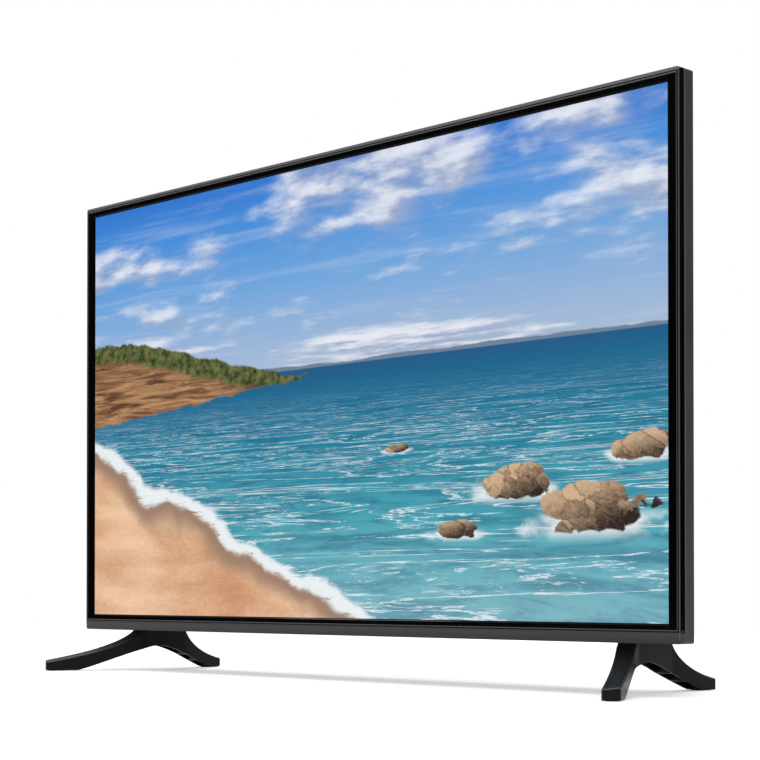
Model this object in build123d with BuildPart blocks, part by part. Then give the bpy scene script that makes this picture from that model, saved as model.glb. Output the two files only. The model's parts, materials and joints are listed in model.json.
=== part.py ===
from build123d import *
import os
from math import atan2, cos, degrees, hypot, sin

# A flat screen television with a direct-lit panel, standing on two splayed feet.
# +X is the viewer's right, +Y goes back through the set and +Z is up. The origin lies
# on the floor, midway between the sides and midway between the front and rear toes.
# Depths called front or back are measured behind the front plane of the trim frame.

os.makedirs("parts", exist_ok=True)

# Whole set
screen_width = 698.4
screen_height = 392.85
side_border = 11.4
top_border = 9.5
chin_height = 14.8
edge_depth = 17.6
stand_height = 39.1
corner_radius = 1.8
cut_overrun = 1.0
fit_gap = 0.3
screw_gap = 0.05

# Trim frame
trim_depth = 1.4
trim_side_width = 2.4
trim_top_width = 4.4
chin_face_height = 10.1
chin_slope_height = 6.5
chin_slope_depth = 0.8
chin_wall = 1.2
groove_offset = 1.2
groove_width = 0.5
groove_depth = 0.5
trim_edge_chamfer = 0.5

# Front bezel
band_recess = 0.5
bezel_depth = 6.9
bezel_wall = 1.4
bezel_face_depth = 0.8
bezel_back_depth = 2.2
window_margin = 0.6
window_bevel = 0.7
chin_rib_thickness = 1.2
chin_rib_count = 7
snap_length = 14.0
snap_depth = 0.9
snap_height = 0.5
snap_back_gap = 0.4
snap_count = 5

# Panel and middle frame, as margins beyond the picture
glass_margin = 5.0
glass_thickness = 1.8
frame_margin = 7.3
web_thickness = 1.2
web_margin = 1.5
sheet_margin = 2.6
film_thickness = 0.3
plate_thickness = 1.5
rear_wall_thickness = 1.4
rear_wall_depth = 3.2

# Backlight
steel_thickness = 0.8
tray_gap = 0.4
tray_opening_margin = 0.8
tray_slope_run = 16.0
light_box_depth = 15.5
reflector_thickness = 0.4
strip_width = 17.0
strip_thickness = 1.2
strip_count = 3
strip_end_gap = 38.0
lens_radius = 8.0
lens_height = 5.0
lens_chamfer = 2.0
lenses_per_strip = 7
lens_hole_gap = 0.8
tray_screw_radius = 0.9
tray_screw_head_radius = 1.5
tray_screw_head_height = 1.0
tray_screw_length = 2.6
tray_screw_margin = 4.2
tray_screw_column_count = 5
tray_screw_row_count = 3

# Rear cover
seam_gap = 0.2
cover_wall = 2.0
plateau_run = 30.6
plateau_depth = 36.0
housing_depth = 74.0
housing_lift = 2.0
lower_root_inset = 20.6
lower_rear_inset = 46.6
lower_root_height = 79.0
lower_rear_height = 55.0
upper_side_slope = 24.0
upper_top_slope = 27.0
upper_top_gap = 20.4
upper_foot_height = 49.0
side_bay_step = 2.0
side_bay_rise = 12.5
side_bay_foot_gap = 6.4
side_bay_pitch_count = 4
bay_lift = 6.0
bay_height = 56.0
bay_front_depth = 31.0
inlet_bay_width = 60.0
inlet_bay_offset = 38.0
rim_chamfer = 1.2
housing_fillet = 5.0

# Vents and speaker slots
vent_width = 3.0
vent_pitch = 9.0
vent_count = 30
vent_inset = 5.0
rear_vent_count = 22
rear_vent_height = 26.0
rear_vent_drop = 16.0
slot_width = 3.0
slot_pitch = 7.0
slot_count = 8
slot_length = 28.0

# Cover screws and standoffs
screw_recess_radius = 4.4
screw_recess_depth = 3.0
screw_boss_radius = 6.5
screw_boss_depth = 3.0
cover_screw_radius = 1.5
cover_screw_head_radius = 3.4
cover_screw_head_height = 1.8
cover_screw_grip = 4.0
standoff_radius = 4.0
cover_screw_shares = ((0.50, 0.88), (0.90, 0.88), (0.93, 0.71), (0.93, 0.28))

# Wall mount
wall_mount_pitch = 100.0
wall_mount_rise = 89.6
wall_mount_thread_radius = 2.0
wall_mount_thread_depth = 12.0
pillar_radius = 5.5
pillar_pocket_radius = 9.0
pillar_pocket_depth = 4.0

# Boards
board_thickness = 1.6
board_height_off_tray = 8.0
board_edge_gap = 0.5
board_standoff_radius = 3.2
board_screw_radius = 1.5
board_screw_head_radius = 2.8
board_screw_head_height = 1.6
board_screw_inset = 6.0
main_board_height = 140.0
power_board_width = 110.0
power_board_height = 140.0
board_pillar_gap = 6.5
panel_board_width = 300.0
panel_board_height = 17.0
panel_board_drop = 34.0
panel_board_thickness = 1.4
panel_board_gap = 0.4

# Films, cable and leads inside
panel_film_count = 4
panel_film_width = 38.0
panel_film_thickness = 0.2
film_lift = 0.6
film_notch_gap = 1.0
panel_cable_width = 18.0
panel_cable_thickness = 0.4
lead_radius = 1.2
lead_side_count = 8
lead_bend = 6.0
lead_rise = 10.0
lead_lift = 9.6
lead_column = 30.0
lead_header_width = 10.0
lead_header_height = 6.0
lead_header_depth = 6.0
speaker_header_height = 14.0
control_header_height = 50.0
power_header_height = 78.0

# Parts on the boards
processor_side = 23.0
processor_height = 2.2
heat_sink_side = 32.0
heat_sink_base = 3.0
heat_sink_height = 12.0
fin_thickness = 1.6
fin_count = 6
tuner_width = 18.0
tuner_height = 34.0
tuner_depth = 12.0
small_can_radius = 4.0
small_can_height = 11.0
header_width = 22.0
header_height = 6.0
header_depth = 7.0
transformer_width = 36.0
transformer_height = 34.0
transformer_depth = 24.0
large_can_radius = 9.0
large_can_height = 25.0
power_fin_width = 44.0
power_fin_thickness = 2.0
power_fin_height = 26.0

# Terminals
socket_shell = 0.5
socket_proud = 0.2
hole_gap = 0.4
hdmi_width = 15.0
hdmi_height = 5.6
hdmi_length = 12.0
hdmi_tongue_width = 11.0
hdmi_tongue_thickness = 1.0
usb_width = 14.4
usb_height = 7.0
usb_length = 14.0
usb_tongue_width = 11.0
usb_tongue_thickness = 1.9
tongue_setback = 2.0
terminal_pitch = 22.0
usb_pitch = 17.6
jack_ring_radius = 5.4
jack_ring_length = 3.2
jack_barrel_radius = 4.15
jack_barrel_length = 9.0
jack_hole_radius = 1.7
jack_pitch = 14.0
antenna_jack_gap = 22.4
jack_block_height = 13.0
jack_block_depth = 13.0
antenna_barrel_radius = 4.75
antenna_barrel_length = 9.0
antenna_bore_radius = 4.1
antenna_pin_radius = 1.2
antenna_end_gap = 12.0
vga_width = 30.8
vga_depth = 12.0
vga_length = 10.0
vga_shell_top = 16.5
vga_shell_bottom = 14.5
vga_shell_height = 8.0
vga_shell_proud = 5.0
vga_end_gap = 6.5
jack_vga_gap = 12.8
headphone_collar_radius = 4.0
headphone_bore_radius = 1.8
headphone_block = 12.0
inlet_width = 24.0
inlet_depth = 14.0
inlet_length = 19.0
inlet_flange = 3.0
inlet_flange_thickness = 1.6
inlet_lobe_radius = 3.6
inlet_lobe_pitch = 8.6
inlet_recess = 13.0
inlet_pin_radius = 1.2
inlet_pin_length = 10.0

# Speakers
speaker_width = 84.0
speaker_height = 40.0
speaker_back_gap = 3.0
speaker_foot_gap = 5.1
speaker_front_depth = 27.0
speaker_wall = 2.0
driver_length = 56.0
driver_width = 26.0
driver_flange_thickness = 2.0
driver_magnet_radius = 9.0
driver_magnet_height = 9.0

# Infrared receiver
ir_side_inset = 110.6
ir_window_width = 16.0
ir_window_front = 3.2
ir_window_back = 6.4
ir_window_height = 4.0
ir_board_width = 30.0
ir_board_thickness = 1.0
ir_board_length = 9.0
ir_receiver_width = 7.0
ir_receiver_height = 1.7
ir_receiver_depth = 3.0
ir_gap = 0.5

# Control keys
key_side_inset = 68.6
key_pitch = 15.0
key_row_height = 211.0
key_width = 10.0
key_height = 8.0
key_corner = 1.5
key_proud = 1.2
key_flange = 1.2
key_flange_thickness = 0.9
key_travel = 0.5
key_power_radius = 5.0
plunger_radius = 1.7
plunger_gap = 0.1
plunger_seat = 1.0
switch_side = 6.2
switch_height = 3.4
switch_bore_depth = 1.9
key_board_width = 18.0
key_board_end = 14.0
key_boss_radius = 3.2
key_screw_radius = 1.1
key_screw_head_radius = 2.2
key_screw_head_height = 1.3
key_screw_grip = 3.0

# Feet
neck_width = 18.0
neck_rear_gap = 6.8
neck_front_gap = 0.6
neck_inset = 50.8
neck_skew = 2.8
shoulder_drop = 0.5
front_leg_run = 77.2
front_leg_splay = 46.1
rear_leg_run = 52.0
rear_leg_splay = 7.2
toe_width = 14.0
toe_height = 8.6
toe_corner = 3.2
front_undercut = 1.2
rear_undercut = 3.0
front_sole_length = 25.0
rear_sole_length = 18.0
arch_height = 23.6
foot_bend_radius = 24.0
foot_edge_radius = 1.6
roof_slope_share = 0.2
foot_wall = 1.8
foot_roof = 2.6
foot_rib_thickness = 1.4
foot_rib_pitch = 15.0
foot_boss_radius = 4.8
foot_boss_height = 30.0
tongue_width = 12.0
tongue_length = 38.0
tongue_height = 9.0
foot_screw_pitch = 25.0
foot_screw_radius = 1.95
foot_screw_hole_radius = 2.2
foot_screw_head_radius = 3.7
foot_screw_head_height = 2.6
foot_screw_end = 2.0
foot_thread_radius = 2.0
bracket_thickness = 2.0
bracket_width = 30.0
bracket_height = 42.0
pad_proud = 0.5
pad_thickness = 1.5
pad_length = 15.0
pad_width = 8.0
front_top_shares = ((0.18, 0.46), (0.49, 0.71))
rear_top_shares = ((0.12, 0.46), (0.48, 0.83))
front_arch_shares = ((0.32, 0.29), (0.73, 1.0))
rear_arch_shares = ((0.26, 0.0), (0.65, 0.64))
arch_peak_share = 0.52

# Places worked out from the sizes above
outer_width = screen_width + 2 * side_border
outer_height = screen_height + top_border + chin_height
outer_half = outer_width / 2
body_bottom = stand_height
body_top = body_bottom + outer_height
body_middle = body_bottom + outer_height / 2
screen_bottom = body_bottom + chin_height
screen_middle = screen_bottom + screen_height / 2
screen_half = screen_width / 2
front_splay_angle = atan2(front_leg_splay, front_leg_run)
rear_splay_angle = atan2(rear_leg_splay, rear_leg_run)
neck_front = edge_depth + neck_front_gap
neck_rear = housing_depth - neck_rear_gap
neck_length = neck_rear - neck_front


def toe_overreach(angle):
    """How far a rounded toe corner reaches past the middle of the toe's end."""
    return toe_corner + (toe_width / 2 - toe_corner) * sin(angle) - toe_corner * cos(angle)


front_toe = neck_front - front_leg_run
rear_toe = neck_rear + rear_leg_run
front_reach = front_toe - toe_overreach(front_splay_angle)
rear_reach = rear_toe + toe_overreach(rear_splay_angle)
front_y = -(front_reach + rear_reach) / 2

glass_front = bezel_back_depth
glass_back = glass_front + glass_thickness
web_back = glass_back + web_thickness
film_back = web_back + 2 * film_thickness
plate_back = film_back + plate_thickness
flange_back = plate_back + steel_thickness
tray_back = flange_back + light_box_depth
floor_front = tray_back - steel_thickness
strip_front = floor_front - strip_thickness
rim_front = bezel_depth + seam_gap
housing_bottom = body_bottom + housing_lift
plateau_inside = plateau_depth - cover_wall
pocket_floor = housing_depth - pillar_pocket_depth
lower_root_half = outer_half - lower_root_inset
lower_rear_half = outer_half - lower_rear_inset
bay_floor = housing_bottom + lower_rear_height + bay_lift
bay_ceiling = bay_floor + bay_height
wall_mount_middle = bay_ceiling + wall_mount_rise
board_inner_half = wall_mount_pitch / 2 + pillar_radius + board_pillar_gap
main_board_width = (
    antenna_end_gap
    + tuner_width / 2
    + antenna_jack_gap
    + 2 * jack_pitch
    + jack_vga_gap
    + vga_width
    + vga_end_gap
)
upper_rear_half = (
    board_inner_half + main_board_width + board_edge_gap + cover_wall + side_bay_step
)
upper_root_half = upper_rear_half + upper_side_slope
upper_rear_top = wall_mount_middle + wall_mount_pitch / 2 + upper_top_gap
upper_root_top = upper_rear_top + upper_top_slope
side_bay_wall = -(upper_rear_half - side_bay_step)
power_board_left = board_inner_half
inlet_bay_middle = power_board_left + inlet_bay_offset
board_front = tray_back + board_height_off_tray
board_back = board_front + board_thickness
main_board_left = side_bay_wall + cover_wall + board_edge_gap
main_board_right = main_board_left + main_board_width
board_bottom = bay_ceiling + cover_wall + board_edge_gap
side_bay_bottom = board_bottom + side_bay_rise
side_bay_top = (
    side_bay_bottom + side_bay_foot_gap + usb_pitch + side_bay_pitch_count * terminal_pitch
)
terminal_bay_left = side_bay_wall + 2 * cover_wall
terminal_bay_right = terminal_bay_left + main_board_width
panel_board_middle = body_top - panel_board_drop
key_rows = [body_bottom + key_row_height + (3 - n) * key_pitch for n in range(7)]
neck_front_x = screen_half - neck_inset
neck_rear_x = neck_front_x - neck_skew
neck_x = (neck_front_x + neck_rear_x) / 2
speaker_inner_half = neck_x - bracket_width / 2 - speaker_foot_gap - speaker_width
ir_middle = outer_half - ir_side_inset
key_column = outer_half - key_side_inset
foot_top = housing_bottom
tongue_top = foot_top + tongue_height
neck_middle = (neck_front + neck_rear) / 2
foot_screw_depths = [neck_middle - foot_screw_pitch / 2, neck_middle + foot_screw_pitch / 2]
shoulder = body_bottom - shoulder_drop


def from_front(depth):
    """Plane parallel to the screen at a depth behind the front plane, facing the viewer."""
    return Plane.XZ.offset(-(front_y + depth))


def slab(left, right, bottom, top, front, back, mode=Mode.ADD):
    """Box between two planes each way, added to or cut from the current part."""
    with BuildSketch(from_front(front)) as face:
        with Locations(((left + right) / 2, (bottom + top) / 2)):
            Rectangle(right - left, top - bottom)
    extrude(face.sketch, amount=front - back, mode=mode)


def posts(places, front, back, radius, mode=Mode.ADD):
    """Round posts or holes along the depth of the set."""
    with BuildSketch(from_front(front)) as faces:
        with Locations(*places):
            Circle(radius)
    extrude(faces.sketch, amount=front - back, mode=mode)


def upright(x, depth, bottom, top, radius, mode=Mode.ADD):
    """Round post or hole standing up."""
    with BuildSketch(Plane.XY.offset(bottom)) as face:
        with Locations((x, front_y + depth)):
            Circle(radius)
    extrude(face.sketch, amount=top - bottom, mode=mode)


def crosswise(depth, z, left, right, radius, mode=Mode.ADD):
    """Round post or hole across the set."""
    with BuildSketch(Plane.YZ.offset(left)) as face:
        with Locations((front_y + depth, z)):
            Circle(radius)
    extrude(face.sketch, amount=right - left, mode=mode)


def margin_sheet(margin, front, back, mode=Mode.ADD):
    """Flat sheet that reaches a margin beyond the picture on every side."""
    with BuildSketch(from_front(front)) as face:
        with Locations((0, screen_middle)):
            Rectangle(screen_width + 2 * margin, screen_height + 2 * margin)
    extrude(face.sketch, amount=front - back, mode=mode)


def margin_ring(outer_margin, inner_margin, front, back):
    """Flat ring between two margins beyond the picture."""
    with BuildSketch(from_front(front)) as face:
        with Locations((0, screen_middle)):
            Rectangle(screen_width + 2 * outer_margin, screen_height + 2 * outer_margin)
            Rectangle(
                screen_width + 2 * inner_margin,
                screen_height + 2 * inner_margin,
                mode=Mode.SUBTRACT,
            )
    extrude(face.sketch, amount=front - back)


def tapered_box(front_sides, front, rear_sides, back, mode=Mode.ADD):
    """Straight-sided form between two rectangles given as left, right, bottom, top."""
    faces = []
    for sides, depth in ((front_sides, front), (rear_sides, back)):
        left, right, bottom, top = sides
        with BuildSketch(from_front(depth)) as face:
            with Locations(((left + right) / 2, (bottom + top) / 2)):
                Rectangle(right - left, top - bottom)
        faces.append(face.sketch.face())
    loft(faces, mode=mode)


def finish(piece, name):
    """Label a finished piece and write it to its own file."""
    piece.part.label = name
    export_step(piece.part, "parts/" + name + ".step")


# Trim frame: thin dark frame round the front, whose lower side is the chin
window_left = -outer_half + trim_side_width
window_right = outer_half - trim_side_width
window_bottom = body_bottom + chin_face_height
window_top = body_top - trim_top_width

with BuildPart() as trim_frame:
    with BuildSketch(from_front(0)) as trim_outline:
        with Locations((0, body_middle)):
            RectangleRounded(outer_width, outer_height, corner_radius)
    extrude(amount=-trim_depth)
    chamfer(
        trim_frame.faces().sort_by(Axis.Y)[0].edges(),
        length=trim_edge_chamfer,
    )
    with BuildSketch(from_front(trim_depth)) as chin_outline:
        with Locations((0, body_middle)):
            RectangleRounded(outer_width, outer_height, corner_radius)
        with Locations((0, window_bottom + outer_height / 2)):
            Rectangle(outer_width, outer_height, mode=Mode.SUBTRACT)
    extrude(amount=trim_depth - bezel_depth)
    slab(
        -outer_half + chin_wall,
        outer_half - chin_wall,
        body_bottom + chin_wall,
        window_bottom + cut_overrun,
        trim_depth,
        bezel_depth + cut_overrun,
        mode=Mode.SUBTRACT,
    )
    slab(
        window_left,
        window_right,
        window_bottom,
        window_top,
        -cut_overrun,
        trim_depth + cut_overrun,
        mode=Mode.SUBTRACT,
    )
    with BuildSketch(from_front(0)) as groove:
        with Locations(((window_left + window_right) / 2, (window_bottom + window_top) / 2)):
            Rectangle(
                window_right - window_left + 2 * groove_offset + groove_width,
                window_top - window_bottom + 2 * groove_offset + groove_width,
            )
            Rectangle(
                window_right - window_left + 2 * groove_offset - groove_width,
                window_top - window_bottom + 2 * groove_offset - groove_width,
                mode=Mode.SUBTRACT,
            )
    extrude(amount=-groove_depth, mode=Mode.SUBTRACT)
    with BuildSketch(Plane.YZ) as chin_slope:
        with BuildLine():
            Polyline(
                (front_y, body_bottom + chin_slope_height),
                (front_y + chin_slope_depth, body_bottom),
                (front_y + chin_slope_depth, body_bottom - cut_overrun),
                (front_y - cut_overrun, body_bottom - cut_overrun),
                (front_y - cut_overrun, body_bottom + chin_slope_height),
                close=True,
            )
        make_face()
    extrude(amount=outer_width, both=True, mode=Mode.SUBTRACT)
    slab(
        ir_middle - ir_window_width / 2,
        ir_middle + ir_window_width / 2,
        body_bottom - cut_overrun,
        body_bottom + chin_wall + cut_overrun,
        ir_window_front,
        ir_window_back,
        mode=Mode.SUBTRACT,
    )
finish(trim_frame, "trim_frame")

# Front bezel: black moulding with the border round the picture and the recessed side band
bezel_half = outer_half - band_recess
bezel_top = body_top - band_recess
chin_inner_half = outer_half - chin_wall - fit_gap
bezel_bottom = body_bottom + chin_wall + fit_gap
cavity_half = screen_half + frame_margin + fit_gap
cavity_bottom = bezel_bottom + bezel_wall
cavity_top = screen_bottom + screen_height + frame_margin + fit_gap
frame_bottom = screen_bottom - frame_margin
snap_front = plate_back - snap_depth - snap_back_gap


def along(start, end, count):
    """Evenly spaced places inside a run, half a space in from each end."""
    return [start + (end - start) * (n + 0.5) / count for n in range(count)]


def snap_marks(growth, mode):
    """Snap ridges on the bezel, or with growth the notches that take them."""
    half_length = snap_length / 2 + growth
    front = snap_front - growth
    back = snap_front + snap_depth + growth
    for z in along(screen_bottom, screen_bottom + screen_height, snap_count - 2):
        for side in (-1, 1):
            edges = sorted((side * (cavity_half - fit_gap - snap_height - growth), side * cavity_half))
            slab(edges[0], edges[1], z - half_length, z + half_length, front, back, mode=mode)
    for x in along(-screen_half, screen_half, snap_count):
        bottom = cavity_top - fit_gap - snap_height - growth
        slab(x - half_length, x + half_length, bottom, cavity_top, front, back, mode=mode)


with BuildPart() as front_bezel:
    slab(-bezel_half, bezel_half, window_bottom + fit_gap, bezel_top, trim_depth, bezel_depth)
    slab(-chin_inner_half, chin_inner_half, bezel_bottom, window_top, trim_depth, bezel_depth)
    slab(
        window_left + fit_gap,
        window_right - fit_gap,
        window_bottom + fit_gap,
        window_top - fit_gap,
        bezel_face_depth,
        trim_depth,
    )
    slab(
        -cavity_half,
        cavity_half,
        cavity_bottom,
        cavity_top,
        bezel_back_depth,
        bezel_depth + cut_overrun,
        mode=Mode.SUBTRACT,
    )
    margin_sheet(window_margin, -cut_overrun, bezel_depth, mode=Mode.SUBTRACT)
    chamfer(
        front_bezel.faces().sort_by(Axis.Y)[0].inner_wires().edges(),
        length=window_bevel,
    )
    for x in along(-cavity_half, cavity_half, chin_rib_count):
        slab(
            x - chin_rib_thickness / 2,
            x + chin_rib_thickness / 2,
            cavity_bottom,
            frame_bottom - fit_gap,
            bezel_back_depth,
            bezel_depth,
        )
    snap_marks(0, Mode.ADD)
    slab(
        ir_middle - ir_window_width / 2,
        ir_middle + ir_window_width / 2,
        bezel_bottom - cut_overrun,
        cavity_bottom + cut_overrun,
        ir_window_front,
        ir_window_back,
        mode=Mode.SUBTRACT,
    )
finish(front_bezel, "front_bezel")

# Display panel and the sheets behind it
with BuildPart() as lcd_panel:
    margin_sheet(glass_margin, glass_front, glass_back)
finish(lcd_panel, "lcd_panel")

with BuildPart() as prism_sheet:
    margin_sheet(sheet_margin, web_back, web_back + film_thickness)
finish(prism_sheet, "prism_sheet")

with BuildPart() as diffuser_sheet:
    margin_sheet(sheet_margin, web_back + film_thickness, film_back)
finish(diffuser_sheet, "diffuser_sheet")

with BuildPart() as diffuser_plate:
    margin_sheet(sheet_margin, film_back, plate_back)
finish(diffuser_plate, "diffuser_plate")

# Middle frame: carries the panel in front and the sheets behind
frame_top = screen_bottom + screen_height + frame_margin
glass_top = screen_bottom + screen_height + glass_margin
film_columns = along(-panel_board_width / 2, panel_board_width / 2, panel_film_count)
side_run = (screen_bottom - tray_screw_margin, screen_bottom + screen_height + tray_screw_margin)
tray_screw_places = [
    (side * (screen_half + tray_screw_margin), z)
    for side in (-1, 1)
    for z in along(screen_bottom, screen_bottom + screen_height, tray_screw_row_count)
] + [
    (x, z)
    for z in side_run
    for x in along(-screen_half, screen_half, tray_screw_column_count)
]

with BuildPart() as middle_frame:
    margin_ring(frame_margin, glass_margin + fit_gap, glass_front, glass_back)
    margin_ring(frame_margin, web_margin, glass_back, web_back)
    margin_ring(frame_margin, sheet_margin + tray_gap, web_back, plate_back)
    margin_ring(
        frame_margin,
        frame_margin - rear_wall_thickness,
        plate_back,
        plate_back + rear_wall_depth,
    )
    snap_marks(fit_gap, Mode.SUBTRACT)
    for x in film_columns:
        slab(
            x - panel_film_width / 2 - film_notch_gap,
            x + panel_film_width / 2 + film_notch_gap,
            glass_top,
            frame_top + cut_overrun,
            glass_front - cut_overrun,
            plate_back + rear_wall_depth + cut_overrun,
            mode=Mode.SUBTRACT,
        )
    posts(
        tray_screw_places,
        web_back,
        plate_back,
        tray_screw_radius + screw_gap,
        mode=Mode.SUBTRACT,
    )
finish(middle_frame, "middle_frame")

# Backlight tray: pressed steel dish with a flange at its mouth
flange_margin = frame_margin - rear_wall_thickness - tray_gap


def dish_sides(margin):
    """Left, right, bottom and top of a rectangle a margin beyond the picture."""
    return (
        -screen_half - margin,
        screen_half + margin,
        screen_bottom - margin,
        screen_bottom + screen_height + margin,
    )


with BuildPart() as backlight_tray:
    margin_sheet(flange_margin, plate_back, flange_back)
    tapered_box(
        dish_sides(tray_opening_margin + steel_thickness),
        plate_back,
        dish_sides(tray_opening_margin + steel_thickness - tray_slope_run),
        tray_back,
    )
    tapered_box(
        dish_sides(tray_opening_margin),
        plate_back,
        dish_sides(tray_opening_margin - tray_slope_run),
        floor_front,
        mode=Mode.SUBTRACT,
    )
    posts(
        tray_screw_places,
        plate_back,
        flange_back,
        tray_screw_radius + fit_gap,
        mode=Mode.SUBTRACT,
    )
finish(backlight_tray, "backlight_tray")

with BuildPart() as tray_screws:
    posts(
        tray_screw_places,
        flange_back,
        flange_back + tray_screw_head_height,
        tray_screw_head_radius,
    )
    posts(tray_screw_places, flange_back - tray_screw_length, flange_back, tray_screw_radius)
finish(tray_screws, "tray_screws")

# LED strips on the floor of the tray, each with a row of lenses
strip_rows = along(screen_bottom, screen_bottom + screen_height, strip_count)
lens_columns = along(-screen_half + strip_end_gap, screen_half - strip_end_gap, lenses_per_strip)
lens_places = [(x, z) for z in strip_rows for x in lens_columns]

with BuildPart() as led_strips:
    for z in strip_rows:
        slab(
            -screen_half + strip_end_gap,
            screen_half - strip_end_gap,
            z - strip_width / 2,
            z + strip_width / 2,
            strip_front,
            floor_front,
        )
finish(led_strips, "led_strips")

with BuildPart() as led_lenses:
    posts(lens_places, strip_front - lens_height, strip_front, lens_radius)
    chamfer(
        led_lenses.edges().filter_by(GeomType.CIRCLE).group_by(Axis.Y)[0],
        length=lens_chamfer,
    )
finish(led_lenses, "led_lenses")

# Reflector sheet: a shallow white dish with a hole for each lens
reflector_back = strip_front
reflector_front = reflector_back - reflector_thickness
reflector_margin = tray_opening_margin - tray_gap
reflector_run = tray_slope_run * (reflector_back - plate_back) / light_box_depth

with BuildPart() as reflector_sheet:
    tapered_box(
        dish_sides(reflector_margin),
        plate_back,
        dish_sides(reflector_margin - reflector_run),
        reflector_back,
    )
    tapered_box(
        dish_sides(reflector_margin - reflector_thickness),
        plate_back,
        dish_sides(reflector_margin - reflector_thickness - reflector_run),
        reflector_front,
        mode=Mode.SUBTRACT,
    )
    posts(
        lens_places,
        reflector_front - cut_overrun,
        reflector_back + cut_overrun,
        lens_radius + lens_hole_gap,
        mode=Mode.SUBTRACT,
    )
finish(reflector_sheet, "reflector_sheet")

# Panel driver board behind the top of the tray
with BuildPart() as panel_board:
    slab(
        -panel_board_width / 2,
        panel_board_width / 2,
        panel_board_middle - panel_board_height / 2,
        panel_board_middle + panel_board_height / 2,
        tray_back + panel_board_gap,
        tray_back + panel_board_gap + panel_board_thickness,
    )
finish(panel_board, "panel_board")

# Rear cover: one moulding with a sloped surround and a raised housing in two steps


def cover_form(inset):
    """Closed form of the rear cover, or with an inset the space inside its walls."""
    rim_start = rim_front - (cut_overrun if inset else 0)
    rim_end = edge_depth - inset / 2
    plateau = plateau_depth - inset
    rear = housing_depth - inset
    with BuildPart() as form:
        with BuildSketch(from_front(rim_start)):
            with Locations((0, body_middle)):
                if inset:
                    Rectangle(outer_width - 2 * inset, outer_height - 2 * inset)
                else:
                    RectangleRounded(outer_width, outer_height, corner_radius)
        extrude(amount=rim_start - rim_end)
        tapered_box(
            (
                -outer_half + rim_chamfer + inset,
                outer_half - rim_chamfer - inset,
                body_bottom + rim_chamfer + inset,
                body_top - rim_chamfer - inset,
            ),
            rim_end,
            (
                -outer_half + plateau_run + inset,
                outer_half - plateau_run - inset,
                body_bottom + plateau_run + inset,
                body_top - plateau_run - inset,
            ),
            plateau,
        )
        tapered_box(
            (
                -lower_root_half + inset,
                lower_root_half - inset,
                housing_bottom + inset,
                housing_bottom + lower_root_height - inset,
            ),
            rim_end,
            (
                -lower_rear_half + inset,
                lower_rear_half - inset,
                housing_bottom + inset,
                housing_bottom + lower_rear_height - inset,
            ),
            rear,
        )
        tapered_box(
            (
                -upper_root_half + inset,
                upper_root_half - inset,
                housing_bottom + upper_foot_height - inset,
                upper_root_top - inset,
            ),
            rim_end,
            (
                -upper_rear_half + inset,
                upper_rear_half - inset,
                housing_bottom + upper_foot_height - inset,
                upper_rear_top - inset,
            ),
            rear,
        )
        slab(
            -upper_root_half - cut_overrun,
            side_bay_wall + inset,
            side_bay_bottom - inset,
            side_bay_top + inset,
            plateau,
            housing_depth + cut_overrun,
            mode=Mode.SUBTRACT,
        )
        for left, right in (
            (terminal_bay_left, terminal_bay_right),
            (inlet_bay_middle - inlet_bay_width / 2, inlet_bay_middle + inlet_bay_width / 2),
        ):
            slab(
                left - inset,
                right + inset,
                bay_floor - inset,
                bay_ceiling + inset,
                bay_front_depth - inset,
                housing_depth + cut_overrun,
                mode=Mode.SUBTRACT,
            )
    return form.part


wall_mount_places = [
    (x, z)
    for x in (-wall_mount_pitch / 2, wall_mount_pitch / 2)
    for z in (
        wall_mount_middle - wall_mount_pitch / 2,
        wall_mount_middle + wall_mount_pitch / 2,
    )
]
plateau_half = outer_half - plateau_run
cover_screw_places = [
    (side * across * plateau_half, body_bottom + up * outer_height)
    for across, up in cover_screw_shares
    for side in (-1, 1)
]
hdmi_rows = [side_bay_top - terminal_pitch * n for n in (2, 3)]
usb_rows = [hdmi_rows[-1] - terminal_pitch - usb_pitch * n for n in range(2)]
headphone_row = side_bay_top - terminal_pitch
hdmi_middle = board_back + hdmi_height / 2
usb_middle = board_back + usb_height / 2
headphone_middle = board_back + headphone_block / 2
antenna_x = terminal_bay_left + antenna_end_gap + tuner_width / 2
antenna_middle = board_back + tuner_depth / 2
jack_columns = [antenna_x + antenna_jack_gap + jack_pitch * n for n in range(3)]
jack_middle = board_back + jack_block_depth / 2
vga_x = terminal_bay_right - vga_end_gap - vga_width / 2
vga_middle = board_back + vga_depth / 2
inlet_middle = board_back + inlet_depth / 2
speaker_middle_x = speaker_inner_half + speaker_width / 2
speaker_back_depth = housing_depth - cover_wall - speaker_back_gap
speaker_middle = (speaker_front_depth + speaker_back_depth) / 2


key_flange_back = plateau_inside - fit_gap
switch_back = key_flange_back - key_flange_thickness - plunger_seat - fit_gap
key_board_back = switch_back - switch_height
key_board_front = key_board_back - board_thickness
key_places = [(-key_column, z) for z in key_rows]
key_screw_places = [
    (-key_column, key_rows[0] + key_board_end),
    (-key_column, key_rows[-1] - key_board_end),
]


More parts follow.
